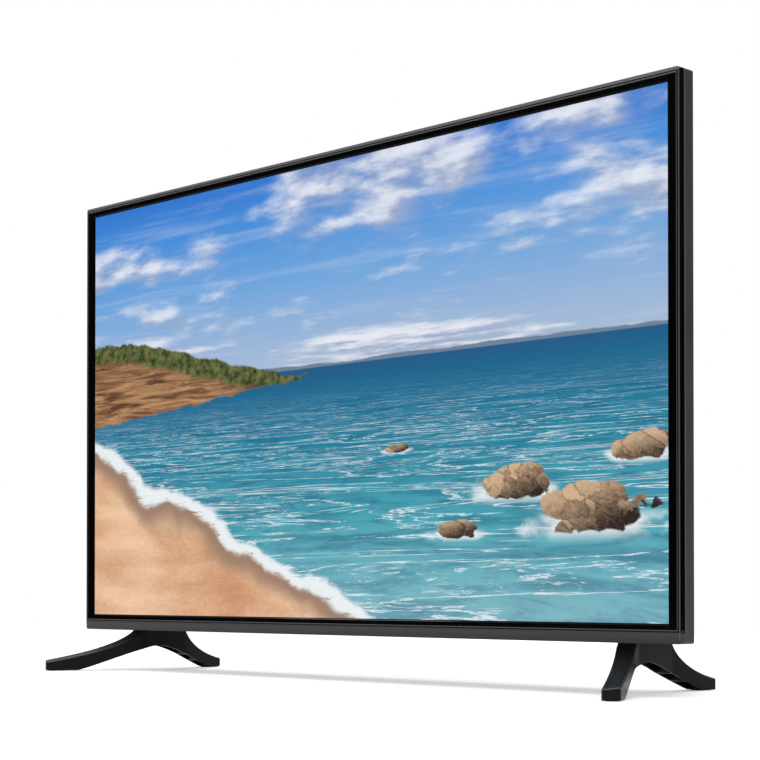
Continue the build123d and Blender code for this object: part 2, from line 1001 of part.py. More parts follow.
def cover_bosses():
    """Recessed screw seats, wall mount pockets and the bosses under the key board."""
    posts(
        cover_screw_places,
        plateau_inside - screw_boss_depth,
        plateau_inside,
        screw_boss_radius,
    )
    posts(
        cover_screw_places,
        plateau_depth - screw_recess_depth,
        plateau_depth + cut_overrun,
        screw_recess_radius,
        mode=Mode.SUBTRACT,
    )
    posts(
        cover_screw_places,
        plateau_inside - screw_boss_depth - cut_overrun,
        plateau_depth,
        cover_screw_radius + fit_gap,
        mode=Mode.SUBTRACT,
    )
    posts(
        wall_mount_places,
        pocket_floor - cover_wall,
        housing_depth - cover_wall,
        pillar_pocket_radius + cover_wall,
    )
    posts(
        wall_mount_places,
        pocket_floor,
        housing_depth + cut_overrun,
        pillar_pocket_radius,
        mode=Mode.SUBTRACT,
    )
    posts(
        wall_mount_places,
        pocket_floor - cover_wall - cut_overrun,
        housing_depth,
        pillar_radius + fit_gap,
        mode=Mode.SUBTRACT,
    )
    posts(key_screw_places, key_board_back, plateau_inside, key_boss_radius)
    posts(
        key_screw_places,
        key_board_back - cut_overrun,
        key_board_back + key_screw_grip + fit_gap,
        key_screw_radius + screw_gap,
        mode=Mode.SUBTRACT,
    )


def vents_and_slots():
    """Vents above and behind the boards, speaker slots and the seats of the feet."""
    vent_bottom = upper_rear_top + vent_inset
    vent_top = upper_root_top - 3 * vent_inset
    with BuildSketch(from_front(housing_depth + cut_overrun)) as top_vents:
        with Locations((0, (vent_bottom + vent_top) / 2)):
            with GridLocations(vent_pitch, vent_pitch, vent_count, 1):
                Rectangle(vent_width, vent_top - vent_bottom)
    extrude(
        top_vents.sketch,
        amount=housing_depth - plateau_depth - cover_wall + cut_overrun,
        mode=Mode.SUBTRACT,
    )
    rear_vent_top = upper_rear_top - rear_vent_drop
    with BuildSketch(from_front(housing_depth + cut_overrun)) as rear_vents:
        with Locations((0, rear_vent_top - rear_vent_height / 2)):
            with GridLocations(vent_pitch, vent_pitch, rear_vent_count, 1):
                Rectangle(vent_width, rear_vent_height)
    extrude(rear_vents.sketch, amount=cover_wall + 2 * cut_overrun, mode=Mode.SUBTRACT)
    with BuildSketch(Plane.XY.offset(housing_bottom - cut_overrun)) as floor_holes:
        for side in (-1, 1):
            with Locations((side * speaker_middle_x, front_y + speaker_middle)):
                with GridLocations(slot_pitch, slot_pitch, slot_count, 1):
                    Rectangle(slot_width, slot_length)
            with Locations((side * neck_x, front_y + neck_middle)):
                Rectangle(tongue_width + 2 * fit_gap, tongue_length + 2 * fit_gap)
    extrude(floor_holes.sketch, amount=cover_wall + 2 * cut_overrun, mode=Mode.SUBTRACT)


def terminal_holes():
    """Openings that the terminals pass through."""
    with BuildSketch(Plane.YZ.offset(side_bay_wall - cut_overrun)) as side_holes:
        with Locations(*[(front_y + hdmi_middle, z) for z in hdmi_rows]):
            Rectangle(hdmi_height + 2 * hole_gap, hdmi_width + 2 * hole_gap)
        with Locations(*[(front_y + usb_middle, z) for z in usb_rows]):
            Rectangle(usb_height + 2 * hole_gap, usb_width + 2 * hole_gap)
        with Locations((front_y + headphone_middle, headphone_row)):
            Circle(headphone_collar_radius + hole_gap)
    extrude(side_holes.sketch, amount=cover_wall + 2 * cut_overrun, mode=Mode.SUBTRACT)
    with BuildSketch(Plane.XY.offset(bay_ceiling - cut_overrun)) as ceiling_holes:
        with Locations((antenna_x, front_y + antenna_middle)):
            Circle(antenna_barrel_radius + hole_gap)
        with Locations(*[(x, front_y + jack_middle) for x in jack_columns]):
            Circle(jack_ring_radius + hole_gap)
        with Locations((vga_x, front_y + vga_middle)):
            Rectangle(vga_shell_top + 2 * hole_gap, vga_shell_height + 2 * hole_gap)
        with Locations((inlet_bay_middle, front_y + inlet_middle)):
            Rectangle(inlet_width + 2 * hole_gap, inlet_depth + 2 * hole_gap)
    extrude(ceiling_holes.sketch, amount=cover_wall + 2 * cut_overrun, mode=Mode.SUBTRACT)


def key_holes():
    """Openings that the control keys slide in: a round one above six oblong ones."""
    with BuildSketch(from_front(plateau_depth + cut_overrun)) as holes:
        with Locations(key_places[0]):
            Circle(key_power_radius + fit_gap)
        with Locations(*key_places[1:]):
            RectangleRounded(key_width + 2 * fit_gap, key_height + 2 * fit_gap, key_corner)
    extrude(holes.sketch, amount=cover_wall + 2 * cut_overrun, mode=Mode.SUBTRACT)


with BuildPart() as rear_cover:
    add(cover_form(0))
    rear_edges = rear_cover.faces().sort_by(Axis.Y)[-1].outer_wire().edges()
    fillet(rear_edges, housing_fillet)
    add(cover_form(cover_wall), mode=Mode.SUBTRACT)
    cover_bosses()
    vents_and_slots()
    terminal_holes()
    key_holes()
finish(rear_cover, "rear_cover")

# Standoffs under the cover screws, with the screws that pass into them
cover_seat = plateau_inside - screw_boss_depth
screw_head_front = plateau_depth - screw_recess_depth

with BuildPart() as cover_standoffs:
    posts(cover_screw_places, tray_back, cover_seat, standoff_radius)
    posts(
        cover_screw_places,
        cover_seat - cover_screw_grip - fit_gap,
        cover_seat,
        cover_screw_radius + screw_gap,
        mode=Mode.SUBTRACT,
    )
finish(cover_standoffs, "cover_standoffs")

with BuildPart() as cover_screws:
    posts(
        cover_screw_places,
        cover_seat - cover_screw_grip,
        screw_head_front,
        cover_screw_radius,
    )
    posts(
        cover_screw_places,
        screw_head_front,
        screw_head_front + cover_screw_head_height,
        cover_screw_head_radius,
    )
finish(cover_screws, "cover_screws")

# Threaded pillars that carry the set on a wall mount
with BuildPart() as wall_mount_pillars:
    posts(wall_mount_places, tray_back, pocket_floor, pillar_radius)
    posts(
        wall_mount_places,
        pocket_floor - wall_mount_thread_depth,
        pocket_floor,
        wall_mount_thread_radius,
        mode=Mode.SUBTRACT,
    )
finish(wall_mount_pillars, "wall_mount_pillars")

# Main board and power board on their standoffs
def board_corners(left, width, height):
    """Screw places of a board; the lower right one stands above the terminals."""
    return [
        (left + board_screw_inset, board_bottom + board_screw_inset),
        (left + width - board_screw_inset, board_bottom + 4 * board_screw_inset),
        (left + board_screw_inset, board_bottom + height - board_screw_inset),
        (left + width - board_screw_inset, board_bottom + height - board_screw_inset),
    ]


main_board_corners = board_corners(main_board_left, main_board_width, main_board_height)
power_board_corners = board_corners(power_board_left, power_board_width, power_board_height)
all_board_corners = main_board_corners + power_board_corners

with BuildPart() as board_standoffs:
    posts(all_board_corners, tray_back, board_front, board_standoff_radius)
    posts(
        all_board_corners,
        board_front - cover_screw_grip - fit_gap,
        board_front,
        board_screw_radius + screw_gap,
        mode=Mode.SUBTRACT,
    )
finish(board_standoffs, "board_standoffs")

with BuildPart() as board_screws:
    posts(all_board_corners, board_front - cover_screw_grip, board_back, board_screw_radius)
    posts(
        all_board_corners,
        board_back,
        board_back + board_screw_head_height,
        board_screw_head_radius,
    )
finish(board_screws, "board_screws")


def circuit_board(left, width, height, corners):
    """Rectangular board with its screw holes."""
    slab(left, left + width, board_bottom, board_bottom + height, board_front, board_back)
    posts(corners, board_front, board_back, board_screw_radius + fit_gap, mode=Mode.SUBTRACT)


with BuildPart() as main_board:
    circuit_board(main_board_left, main_board_width, main_board_height, main_board_corners)
finish(main_board, "main_board")

with BuildPart() as power_board:
    circuit_board(power_board_left, power_board_width, power_board_height, power_board_corners)
finish(power_board, "power_board")

# Parts on the main board
processor_x = (main_board_left + main_board_right) / 2
processor_z = board_bottom + main_board_height / 2
processor_back = board_back + processor_height

with BuildPart() as main_processor:
    slab(
        processor_x - processor_side / 2,
        processor_x + processor_side / 2,
        processor_z - processor_side / 2,
        processor_z + processor_side / 2,
        board_back,
        processor_back,
    )
finish(main_processor, "main_processor")

with BuildPart() as heat_sink:
    slab(
        processor_x - heat_sink_side / 2,
        processor_x + heat_sink_side / 2,
        processor_z - heat_sink_side / 2,
        processor_z + heat_sink_side / 2,
        processor_back,
        processor_back + heat_sink_base,
    )
    fin_pitch = (heat_sink_side - fin_thickness) / (fin_count - 1)
    for n in range(fin_count):
        left = processor_x - heat_sink_side / 2 + n * fin_pitch
        slab(
            left,
            left + fin_thickness,
            processor_z - heat_sink_side / 2,
            processor_z + heat_sink_side / 2,
            processor_back + heat_sink_base,
            processor_back + heat_sink_height,
        )
finish(heat_sink, "heat_sink")

with BuildPart() as tuner_can:
    slab(
        antenna_x - tuner_width / 2,
        antenna_x + tuner_width / 2,
        board_bottom,
        board_bottom + tuner_height,
        board_back,
        board_back + tuner_depth,
    )
finish(tuner_can, "tuner_can")

header_row = board_bottom + main_board_height - header_height
header_x = processor_x + header_width / 2
side_header_x = main_board_right - lead_header_width
key_header_x = main_board_left + 2 * lead_header_width
key_header_row = header_row - header_height / 2
power_header_x = power_board_left + lead_header_width
speaker_header_row = board_bottom + speaker_header_height
control_header_row = board_bottom + control_header_height
power_header_row = board_bottom + power_header_height


def headers(places):
    """Small connectors on a board for the leads."""
    with BuildSketch(from_front(board_back)) as blocks:
        with Locations(*places):
            Rectangle(lead_header_width, lead_header_height)
    extrude(blocks.sketch, amount=-lead_header_depth)


with BuildPart() as main_board_parts:
    posts(
        [
            (main_board_right - (n + 1) * 3 * small_can_radius, processor_z + heat_sink_side)
            for n in range(4)
        ],
        board_back,
        board_back + small_can_height,
        small_can_radius,
    )
    slab(
        header_x - header_width / 2,
        header_x + header_width / 2,
        header_row - header_height / 2,
        header_row + header_height / 2,
        board_back,
        board_back + header_depth,
    )
    headers(
        [
            (side_header_x, speaker_header_row),
            (side_header_x, control_header_row),
            (side_header_x, power_header_row),
            (key_header_x, key_header_row),
        ]
    )
finish(main_board_parts, "main_board_parts")

# Terminals that face down from the lower edge of the main board
with BuildPart() as antenna_socket:
    upright(
        antenna_x,
        antenna_middle,
        bay_ceiling - antenna_barrel_length,
        board_bottom,
        antenna_barrel_radius,
    )
    upright(
        antenna_x,
        antenna_middle,
        bay_ceiling - antenna_barrel_length - cut_overrun,
        bay_ceiling,
        antenna_bore_radius,
        mode=Mode.SUBTRACT,
    )
    upright(
        antenna_x,
        antenna_middle,
        bay_ceiling - antenna_barrel_length + tongue_setback,
        bay_ceiling,
        antenna_pin_radius,
    )
finish(antenna_socket, "antenna_socket")

with BuildPart() as av_jacks:
    slab(
        jack_columns[0] - jack_pitch / 2,
        jack_columns[-1] + jack_pitch / 2,
        board_bottom,
        board_bottom + jack_block_height,
        board_back,
        board_back + jack_block_depth,
    )
    for x in jack_columns:
        upright(x, jack_middle, board_bottom - jack_ring_length, board_bottom, jack_ring_radius)
        upright(
            x,
            jack_middle,
            board_bottom - jack_ring_length - jack_barrel_length,
            board_bottom - jack_ring_length,
            jack_barrel_radius,
        )
        upright(
            x,
            jack_middle,
            board_bottom - jack_ring_length - jack_barrel_length - cut_overrun,
            board_bottom,
            jack_hole_radius,
            mode=Mode.SUBTRACT,
        )
finish(av_jacks, "av_jacks")

with BuildPart() as vga_socket:
    slab(
        vga_x - vga_width / 2,
        vga_x + vga_width / 2,
        board_bottom,
        board_bottom + vga_length,
        board_back,
        board_back + vga_depth,
    )
    with BuildSketch(Plane.XY.offset(bay_ceiling - vga_shell_proud)) as vga_shell:
        with BuildLine():
            Polyline(
                (vga_x - vga_shell_top / 2, front_y + vga_middle + vga_shell_height / 2),
                (vga_x + vga_shell_top / 2, front_y + vga_middle + vga_shell_height / 2),
                (vga_x + vga_shell_bottom / 2, front_y + vga_middle - vga_shell_height / 2),
                (vga_x - vga_shell_bottom / 2, front_y + vga_middle - vga_shell_height / 2),
                close=True,
            )
        make_face()
        fillet(vga_shell.vertices(), fin_thickness)
    extrude(amount=board_bottom - bay_ceiling + vga_shell_proud)
finish(vga_socket, "vga_socket")


def side_socket(row, width, height, length, tongue_width, tongue_thickness):
    """Metal shell that opens to the side, with a tongue inside it."""
    left = side_bay_wall - socket_proud
    middle = board_back + height / 2
    slab(left, left + length, row - width / 2, row + width / 2, board_back, board_back + height)
    slab(
        left - cut_overrun,
        left + length - tongue_setback,
        row - width / 2 + socket_shell,
        row + width / 2 - socket_shell,
        board_back + socket_shell,
        board_back + height - socket_shell,
        mode=Mode.SUBTRACT,
    )
    slab(
        left + tongue_setback,
        left + length,
        row - tongue_width / 2,
        row + tongue_width / 2,
        middle - tongue_thickness / 2,
        middle + tongue_thickness / 2,
    )


with BuildPart() as hdmi_sockets:
    for row in hdmi_rows:
        side_socket(
            row,
            hdmi_width,
            hdmi_height,
            hdmi_length,
            hdmi_tongue_width,
            hdmi_tongue_thickness,
        )
finish(hdmi_sockets, "hdmi_sockets")

with BuildPart() as usb_sockets:
    for row in usb_rows:
        side_socket(
            row,
            usb_width,
            usb_height,
            usb_length,
            usb_tongue_width,
            usb_tongue_thickness,
        )
finish(usb_sockets, "usb_sockets")

with BuildPart() as headphone_jack:
    slab(
        main_board_left,
        main_board_left + headphone_block,
        headphone_row - headphone_block / 2,
        headphone_row + headphone_block / 2,
        board_back,
        board_back + headphone_block,
    )
    crosswise(
        headphone_middle,
        headphone_row,
        side_bay_wall - socket_proud,
        main_board_left,
        headphone_collar_radius,
    )
    crosswise(
        headphone_middle,
        headphone_row,
        side_bay_wall - cut_overrun,
        main_board_left + headphone_block - tongue_setback,
        headphone_bore_radius,
        mode=Mode.SUBTRACT,
    )
finish(headphone_jack, "headphone_jack")

# Mains inlet for a two-core lead: a figure-eight recess with two pins, facing down
inlet_face = bay_ceiling - inlet_flange_thickness
inlet_lobes = (inlet_bay_middle - inlet_lobe_pitch / 2, inlet_bay_middle + inlet_lobe_pitch / 2)

with BuildPart() as mains_inlet:
    slab(
        inlet_bay_middle - inlet_width / 2 - inlet_flange,
        inlet_bay_middle + inlet_width / 2 + inlet_flange,
        inlet_face,
        bay_ceiling,
        inlet_middle - inlet_depth / 2 - inlet_flange / 2,
        inlet_middle + inlet_depth / 2 + inlet_flange,
    )
    slab(
        inlet_bay_middle - inlet_width / 2,
        inlet_bay_middle + inlet_width / 2,
        bay_ceiling,
        inlet_face + inlet_length,
        inlet_middle - inlet_depth / 2,
        inlet_middle + inlet_depth / 2,
    )
    for x in inlet_lobes:
        upright(
            x,
            inlet_middle,
            inlet_face - cut_overrun,
            inlet_face + inlet_recess,
            inlet_lobe_radius,
            mode=Mode.SUBTRACT,
        )
    slab(
        inlet_lobes[0],
        inlet_lobes[1],
        inlet_face - cut_overrun,
        inlet_face + inlet_recess,
        inlet_middle - inlet_lobe_radius + socket_shell,
        inlet_middle + inlet_lobe_radius - socket_shell,
        mode=Mode.SUBTRACT,
    )
    for x in inlet_lobes:
        upright(
            x,
            inlet_middle,
            inlet_face + inlet_recess - inlet_pin_length,
            inlet_face + inlet_recess,
            inlet_pin_radius,
        )
finish(mains_inlet, "mains_inlet")

# Parts on the power board
power_middle = power_board_left + power_board_width / 2
power_row = board_bottom + power_board_height / 2
large_can_row = power_row - transformer_height / 2
large_can_offset = transformer_width / 2 + large_can_radius + power_fin_thickness
with BuildPart() as transformer:
    slab(
        power_middle - transformer_width / 2,
        power_middle + transformer_width / 2,
        power_row - transformer_height / 2,
        power_row + transformer_height / 2,
        board_back,
        board_back + transformer_depth,
    )
finish(transformer, "transformer")

with BuildPart() as power_board_parts:
    posts(
        [(power_middle + side * large_can_offset, large_can_row) for side in (-1, 1)],
        board_back,
        board_back + large_can_height,
        large_can_radius,
    )
    posts(
        [
            (power_board_left + (n + 2) * 3 * small_can_radius, power_row + transformer_height)
            for n in range(3)
        ],
        board_back,
        board_back + small_can_height,
        small_can_radius,
    )
    headers([(power_header_x, power_header_row)])
finish(power_board_parts, "power_board_parts")

with BuildPart() as power_heat_sinks:
    for side in (-1, 1):
        x = power_middle + side * (transformer_width / 2 + 2 * power_fin_thickness)
        slab(
            x - power_fin_thickness / 2,
            x + power_fin_thickness / 2,
            power_row,
            power_row + power_fin_width / 2,
            board_back,
            board_back + power_fin_height,
        )
finish(power_heat_sinks, "power_heat_sinks")

# Speaker boxes that fire down through the slots, with their drivers
speaker_bottom = housing_bottom + cover_wall + fit_gap
driver_top = speaker_bottom + driver_flange_thickness


def speaker_box(side):
    """Closed box with an oval cut-out in its floor for the driver."""
    left = side * speaker_middle_x - speaker_width / 2
    with BuildPart() as box:
        slab(
            left,
            left + speaker_width,
            driver_top,
            driver_top + speaker_height,
            speaker_front_depth,
            speaker_back_depth,
        )
        slab(
            left + speaker_wall,
            left + speaker_width - speaker_wall,
            driver_top + speaker_wall,
            driver_top + speaker_height - speaker_wall,
            speaker_front_depth + speaker_wall,
            speaker_back_depth - speaker_wall,
            mode=Mode.SUBTRACT,
        )
        with BuildSketch(Plane.XY.offset(driver_top)) as mouth:
            with Locations((side * speaker_middle_x, front_y + speaker_middle)):
                SlotOverall(driver_length - driver_flange_thickness,
                            driver_width - driver_flange_thickness)
        extrude(amount=speaker_wall, mode=Mode.SUBTRACT)
    return box


left_speaker_box = speaker_box(-1)
right_speaker_box = speaker_box(1)
finish(left_speaker_box, "left_speaker_box")
finish(right_speaker_box, "right_speaker_box")

with BuildPart() as speaker_drivers:
    for side in (-1, 1):
        with BuildSketch(Plane.XY.offset(speaker_bottom)):
            with Locations((side * speaker_middle_x, front_y + speaker_middle)):
                SlotOverall(driver_length, driver_width)
        extrude(amount=driver_flange_thickness)
        upright(
            side * speaker_middle_x,
            speaker_middle,
            driver_top,
            driver_top + driver_magnet_height,
            driver_magnet_radius,
        )
finish(speaker_drivers, "speaker_drivers")

# Infrared receiver on its board, behind a window let into the underside of the chin
ir_board_front = plate_back
ir_board_bottom = body_bottom + cover_wall + ir_receiver_height + ir_gap

with BuildPart() as ir_window:
    slab(
        ir_middle - ir_window_width / 2 + screw_gap,
        ir_middle + ir_window_width / 2 - screw_gap,
        body_bottom,
        body_bottom + ir_window_height,
        ir_window_front + screw_gap,
        ir_window_back - screw_gap,
    )
finish(ir_window, "ir_window")

with BuildPart() as ir_board:
    slab(
        ir_middle - ir_board_width / 2,
        ir_middle + ir_board_width / 2,
        ir_board_bottom,
        ir_board_bottom + ir_board_thickness,
        ir_board_front,
        ir_board_front + ir_board_length,
    )
    slab(
        ir_middle - ir_receiver_width / 2,
        ir_middle + ir_receiver_width / 2,
        ir_board_bottom - ir_receiver_height,
        ir_board_bottom,
        ir_board_front,
        ir_board_front + ir_receiver_depth,
    )
finish(ir_board, "ir_board")

# Key board on the two bosses of the cover, with the switches behind the keys
key_names = (
    "power_key",
    "source_key",
    "menu_key",
    "channel_up_key",
    "channel_down_key",
    "volume_up_key",
    "volume_down_key",
)

with BuildPart() as key_board:
    slab(
        -key_column - key_board_width / 2,
        -key_column + key_board_width / 2,
        key_screw_places[1][1] - key_boss_radius,
        key_screw_places[0][1] + key_boss_radius,
        key_board_front,
        key_board_back,
    )
    posts(
        key_screw_places,
        key_board_front,
        key_board_back,
        key_screw_radius + fit_gap,
        mode=Mode.SUBTRACT,
    )
finish(key_board, "key_board")

with BuildPart() as key_switches:
    with BuildSketch(from_front(key_board_back)) as switch_bodies:
        with Locations(*key_places):
            Rectangle(switch_side, switch_side)
    extrude(amount=-switch_height)
    posts(
        key_places,
        switch_back - switch_bore_depth,
        switch_back,
        plunger_radius + plunger_gap,
        mode=Mode.SUBTRACT,
    )
finish(key_switches, "key_switches")

with BuildPart() as key_board_screws:
    posts(
        key_screw_places,
        key_board_front - key_screw_head_height,
        key_board_front,
        key_screw_head_radius,
    )
    posts(
        key_screw_places,
        key_board_front,
        key_board_back + key_screw_grip,
        key_screw_radius,
    )
finish(key_board_screws, "key_board_screws")

# Control keys, each with the plunger of its switch resting against its flange
flange_front = key_flange_back - key_flange_thickness
for n, name in enumerate(key_names):
    with BuildPart() as key:
        z = key_rows[n]
        with BuildSketch(from_front(key_flange_back)) as cap:
            with Locations((-key_column, z)):
                if n == 0:
                    Circle(key_power_radius)
                else:
                    RectangleRounded(key_width, key_height, key_corner)
        extrude(amount=key_flange_back - plateau_depth - key_proud)
        with BuildSketch(from_front(flange_front)) as flange:
            with Locations((-key_column, z)):
                Rectangle(key_width + 2 * key_flange, key_height + 2 * key_flange)
        extrude(amount=-key_flange_thickness)
        posts(
            [(-key_column, z)],
            switch_back - switch_bore_depth + key_travel + fit_gap,
            flange_front,
            plunger_radius,
        )
    finish(key, name)

# Feet: a neck under the housing, a long leg splayed forwards and a short one back


def at_depth(x, depth):
    """Point on a level plane from its place across and its depth."""
    return (x, front_y + depth)


def leg_end(tip, angle, width, ahead):
    """The two corners of a leg's end, square to the leg, given the middle of the end."""
    across = (cos(angle) * width / 2, ahead * sin(angle) * width / 2)
    return (
        (tip[0] + across[0], tip[1] + across[1]),
        (tip[0] - across[0], tip[1] - across[1]),
    )


def between(start, end, share):
    """Point at a share of the run and a share of the rise between two points."""
    return (
        start[0] + share[0] * (end[0] - start[0]),
        start[1] + share[1] * (end[1] - start[1]),
    )


def curve(start, end, shares):
    """Smooth curve whose two middle poles are shares of the way along."""
    return Bezier(start, *(between(start, end, share) for share in shares), end)


def foot_plan():
    """Outline of a foot seen from above, on the viewer's right."""
    front_out, front_in = leg_end(
        at_depth(neck_front_x + front_leg_splay, front_toe), front_splay_angle, toe_width, 1
    )
    rear_out, rear_in = leg_end(
        at_depth(neck_rear_x + rear_leg_splay, rear_toe), rear_splay_angle, toe_width, -1
    )
    with BuildSketch() as plan:
        with BuildLine():
            Polyline(
                front_in,
                front_out,
                at_depth(neck_front_x + neck_width / 2, neck_front),
                at_depth(neck_rear_x + neck_width / 2, neck_rear),
                rear_out,
                rear_in,
                at_depth(neck_rear_x - neck_width / 2, neck_rear),
                at_depth(neck_front_x - neck_width / 2, neck_front),
                close=True,
            )
        make_face()
        corners = plan.vertices().sort_by(Axis.Y)
        fillet(corners[0:2] + corners[6:8], toe_corner)
        bends = plan.vertices().sort_by_distance(at_depth(neck_x, (neck_front + neck_rear) / 2))
        fillet(bends[0:4], foot_bend_radius)
    return plan.sketch


def foot_side(drop):
    """Side view under the top curves of a foot, lowered by a drop."""
    shoulder_front = (front_y + neck_front, shoulder - drop)
    shoulder_rear = (front_y + neck_rear, shoulder - drop)
    front_tip = (front_y + front_reach - cut_overrun, toe_height - drop)
    rear_tip = (front_y + rear_reach + cut_overrun, toe_height - drop)
    base = pad_proud - (cut_overrun if drop else 0)
    with BuildSketch(Plane.YZ) as side:
        with BuildLine():
            Line(shoulder_front, shoulder_rear)
            curve(shoulder_rear, rear_tip, rear_top_shares)
            Polyline(
                rear_tip,
                (rear_tip[0], base + rear_undercut + cut_overrun),
                (rear_tip[0] - rear_undercut - cut_overrun, base),
                (front_tip[0] + front_undercut + cut_overrun, base),
                (front_tip[0], base + front_undercut + cut_overrun),
                front_tip,
            )
            curve(shoulder_front, front_tip, front_top_shares)
        make_face()
    return side.sketch


front_sole_end = front_y + front_reach + front_sole_length
rear_sole_end = front_y + rear_reach - rear_sole_length


def foot_arch():
    """Side view of the arch between the two soles."""
    peak = (
        front_sole_end + arch_peak_share * (rear_sole_end - front_sole_end),
        arch_height,
    )
    front_foot = (front_sole_end, pad_proud)
    rear_foot = (rear_sole_end, pad_proud)
    with BuildSketch(Plane.YZ) as arch:
        with BuildLine():
            curve(front_foot, peak, front_arch_shares)
            curve(peak, rear_foot, rear_arch_shares)
            Polyline(
                rear_foot,
                (rear_sole_end, -cut_overrun),
                (front_sole_end, -cut_overrun),
                front_foot,
            )
        make_face()
    return arch.sketch


def foot_hollow():
    """Space under the roof of a foot, with its cross ribs and screw bosses left standing."""
    plan = foot_plan()
    with BuildPart() as hollow:
        with BuildSketch():
            add(plan)
            offset(amount=-foot_wall)
        extrude(amount=foot_top - foot_roof)
        extrude(foot_side(foot_roof), amount=outer_width, both=True, mode=Mode.INTERSECT)
        slab(
            0,
            outer_width,
            -cut_overrun,
            foot_top,
            front_sole_end - front_y,
            rear_sole_end - front_y,
            mode=Mode.INTERSECT,
        )
        rib_depth = front_sole_end - front_y + foot_rib_pitch
        while rib_depth < rear_sole_end - front_y - foot_rib_pitch / 2:
            if not neck_front < rib_depth < neck_rear:
                slab(
                    0,
                    outer_width,
                    -cut_overrun,
                    foot_top,
                    rib_depth - foot_rib_thickness / 2,
                    rib_depth + foot_rib_thickness / 2,
                    mode=Mode.SUBTRACT,
                )
            rib_depth += foot_rib_pitch
        for depth in foot_screw_depths:
            upright(neck_x, depth, foot_boss_height, foot_top, foot_boss_radius, mode=Mode.SUBTRACT)
    return hollow.part


pad_places = []
for tip_x, tip_depth, angle, ahead in (
    (neck_front_x + front_leg_splay, front_toe, front_splay_angle, 1),
    (neck_rear_x + rear_leg_splay, rear_toe, rear_splay_angle, -1),
):
    inward = pad_length / 2 + toe_corner
    pad_places.append(
        (
            tip_x - inward * sin(angle),
            tip_depth + ahead * inward * cos(angle),
            degrees(angle) * ahead,
        )
    )


def pad_prisms(growth, bottom, top, mode=Mode.ADD):
    """Pads under the toes of the right foot, or with growth their seats."""
    for x, depth, turn in pad_places:
        with BuildSketch(Plane.XY.offset(bottom)) as face:
            with Locations(at_depth(x, depth)):
                Rectangle(pad_width + 2 * growth, pad_length + 2 * growth, rotation=turn)
        extrude(face.sketch, amount=top - bottom, mode=mode)


with BuildPart() as right_foot:
    add(foot_plan())
    extrude(amount=foot_top)
    extrude(foot_side(0), amount=outer_width, both=True, mode=Mode.INTERSECT)
    extrude(foot_arch(), amount=outer_width, both=True, mode=Mode.SUBTRACT)
    roof = right_foot.faces().filter_by(lambda face: face.normal_at().Z > roof_slope_share)
    crests = [
        edge
        for face in roof
        for edge in face.edges()
        if edge.center().Z < shoulder - foot_edge_radius / 2
    ]
    fillet(crests, foot_edge_radius)
    with BuildSketch(Plane.XY.offset(foot_boss_height)) as neck:
        add(foot_plan())
        with Locations(at_depth(neck_x, neck_middle)):
            Rectangle(2 * neck_width, neck_length, mode=Mode.INTERSECT)
    extrude(neck.sketch, amount=foot_top - foot_boss_height)
    add(foot_hollow(), mode=Mode.SUBTRACT)
    slab(
        neck_x - tongue_width / 2,
        neck_x + tongue_width / 2,
        foot_top,
        tongue_top,
        neck_middle - tongue_length / 2,
        neck_middle + tongue_length / 2,
    )
    for depth in foot_screw_depths:
        upright(neck_x, depth, 0, tongue_top, foot_screw_hole_radius, mode=Mode.SUBTRACT)
    pad_prisms(fit_gap, 0, pad_thickness, mode=Mode.SUBTRACT)
finish(right_foot, "right_foot")

with BuildPart() as left_foot:
    mirror(right_foot.part, about=Plane.YZ)
finish(left_foot, "left_foot")

with BuildPart() as foot_pads:
    pad_prisms(0, 0, pad_thickness)
    mirror(about=Plane.YZ)
finish(foot_pads, "foot_pads")

with BuildPart() as foot_screws:
    for depth in foot_screw_depths:
        upright(
            neck_x,
            depth,
            foot_boss_height - foot_screw_head_height,
            foot_boss_height,
            foot_screw_head_radius,
        )
        upright(
            neck_x,
            depth,
            foot_boss_height,
            tongue_top + bracket_thickness + foot_screw_end,
            foot_screw_radius,
        )
    mirror(about=Plane.YZ)
finish(foot_screws, "foot_screws")

# Steel angles inside the housing that take the foot screws
with BuildPart() as foot_brackets:
    slab(
        neck_x - bracket_width / 2,
        neck_x + bracket_width / 2,
        tongue_top,
        tongue_top + bracket_thickness,
        tray_back,
        neck_rear,
    )
    slab(
        neck_x - bracket_width / 2,
        neck_x + bracket_width / 2,
        tongue_top,
        tongue_top + bracket_height,
        tray_back,
        tray_back + bracket_thickness,
    )
    for depth in foot_screw_depths:
        upright(
            neck_x,
            depth,
            tongue_top,
            tongue_top + bracket_thickness,
            foot_thread_radius,
            mode=Mode.SUBTRACT,
        )
    mirror(about=Plane.YZ)
finish(foot_brackets, "foot_brackets")

# Film connectors from the top edge of the panel round the tray to the panel board
panel_board_back = tray_back + panel_board_gap + panel_board_thickness


def strip_on_side(points, left, width, thickness):
    """Flat strip bent along a route seen from the side, given as depths and heights."""
    with BuildSketch(Plane.YZ.offset(left)) as section:
        with BuildLine():
            Polyline(*[(front_y + depth, z) for depth, z in points])
        trace(line_width=thickness)
    extrude(section.sketch, amount=width)


film_seat = panel_board_back + panel_film_thickness / 2
with BuildPart() as panel_films:
    for x in film_columns:
        strip_on_side(
            (
                ((glass_front + glass_back) / 2, glass_top),
                ((glass_front + glass_back) / 2, frame_top - film_lift),
                (plate_back + rear_wall_depth, frame_top - film_lift),
                (film_seat, panel_board_middle + panel_board_height / 2 + film_lift),
                (film_seat, panel_board_middle + panel_board_height / 4),
            ),
            x - panel_film_width / 2,
            panel_film_width,
            panel_film_thickness,
        )
finish(panel_films, "panel_films")

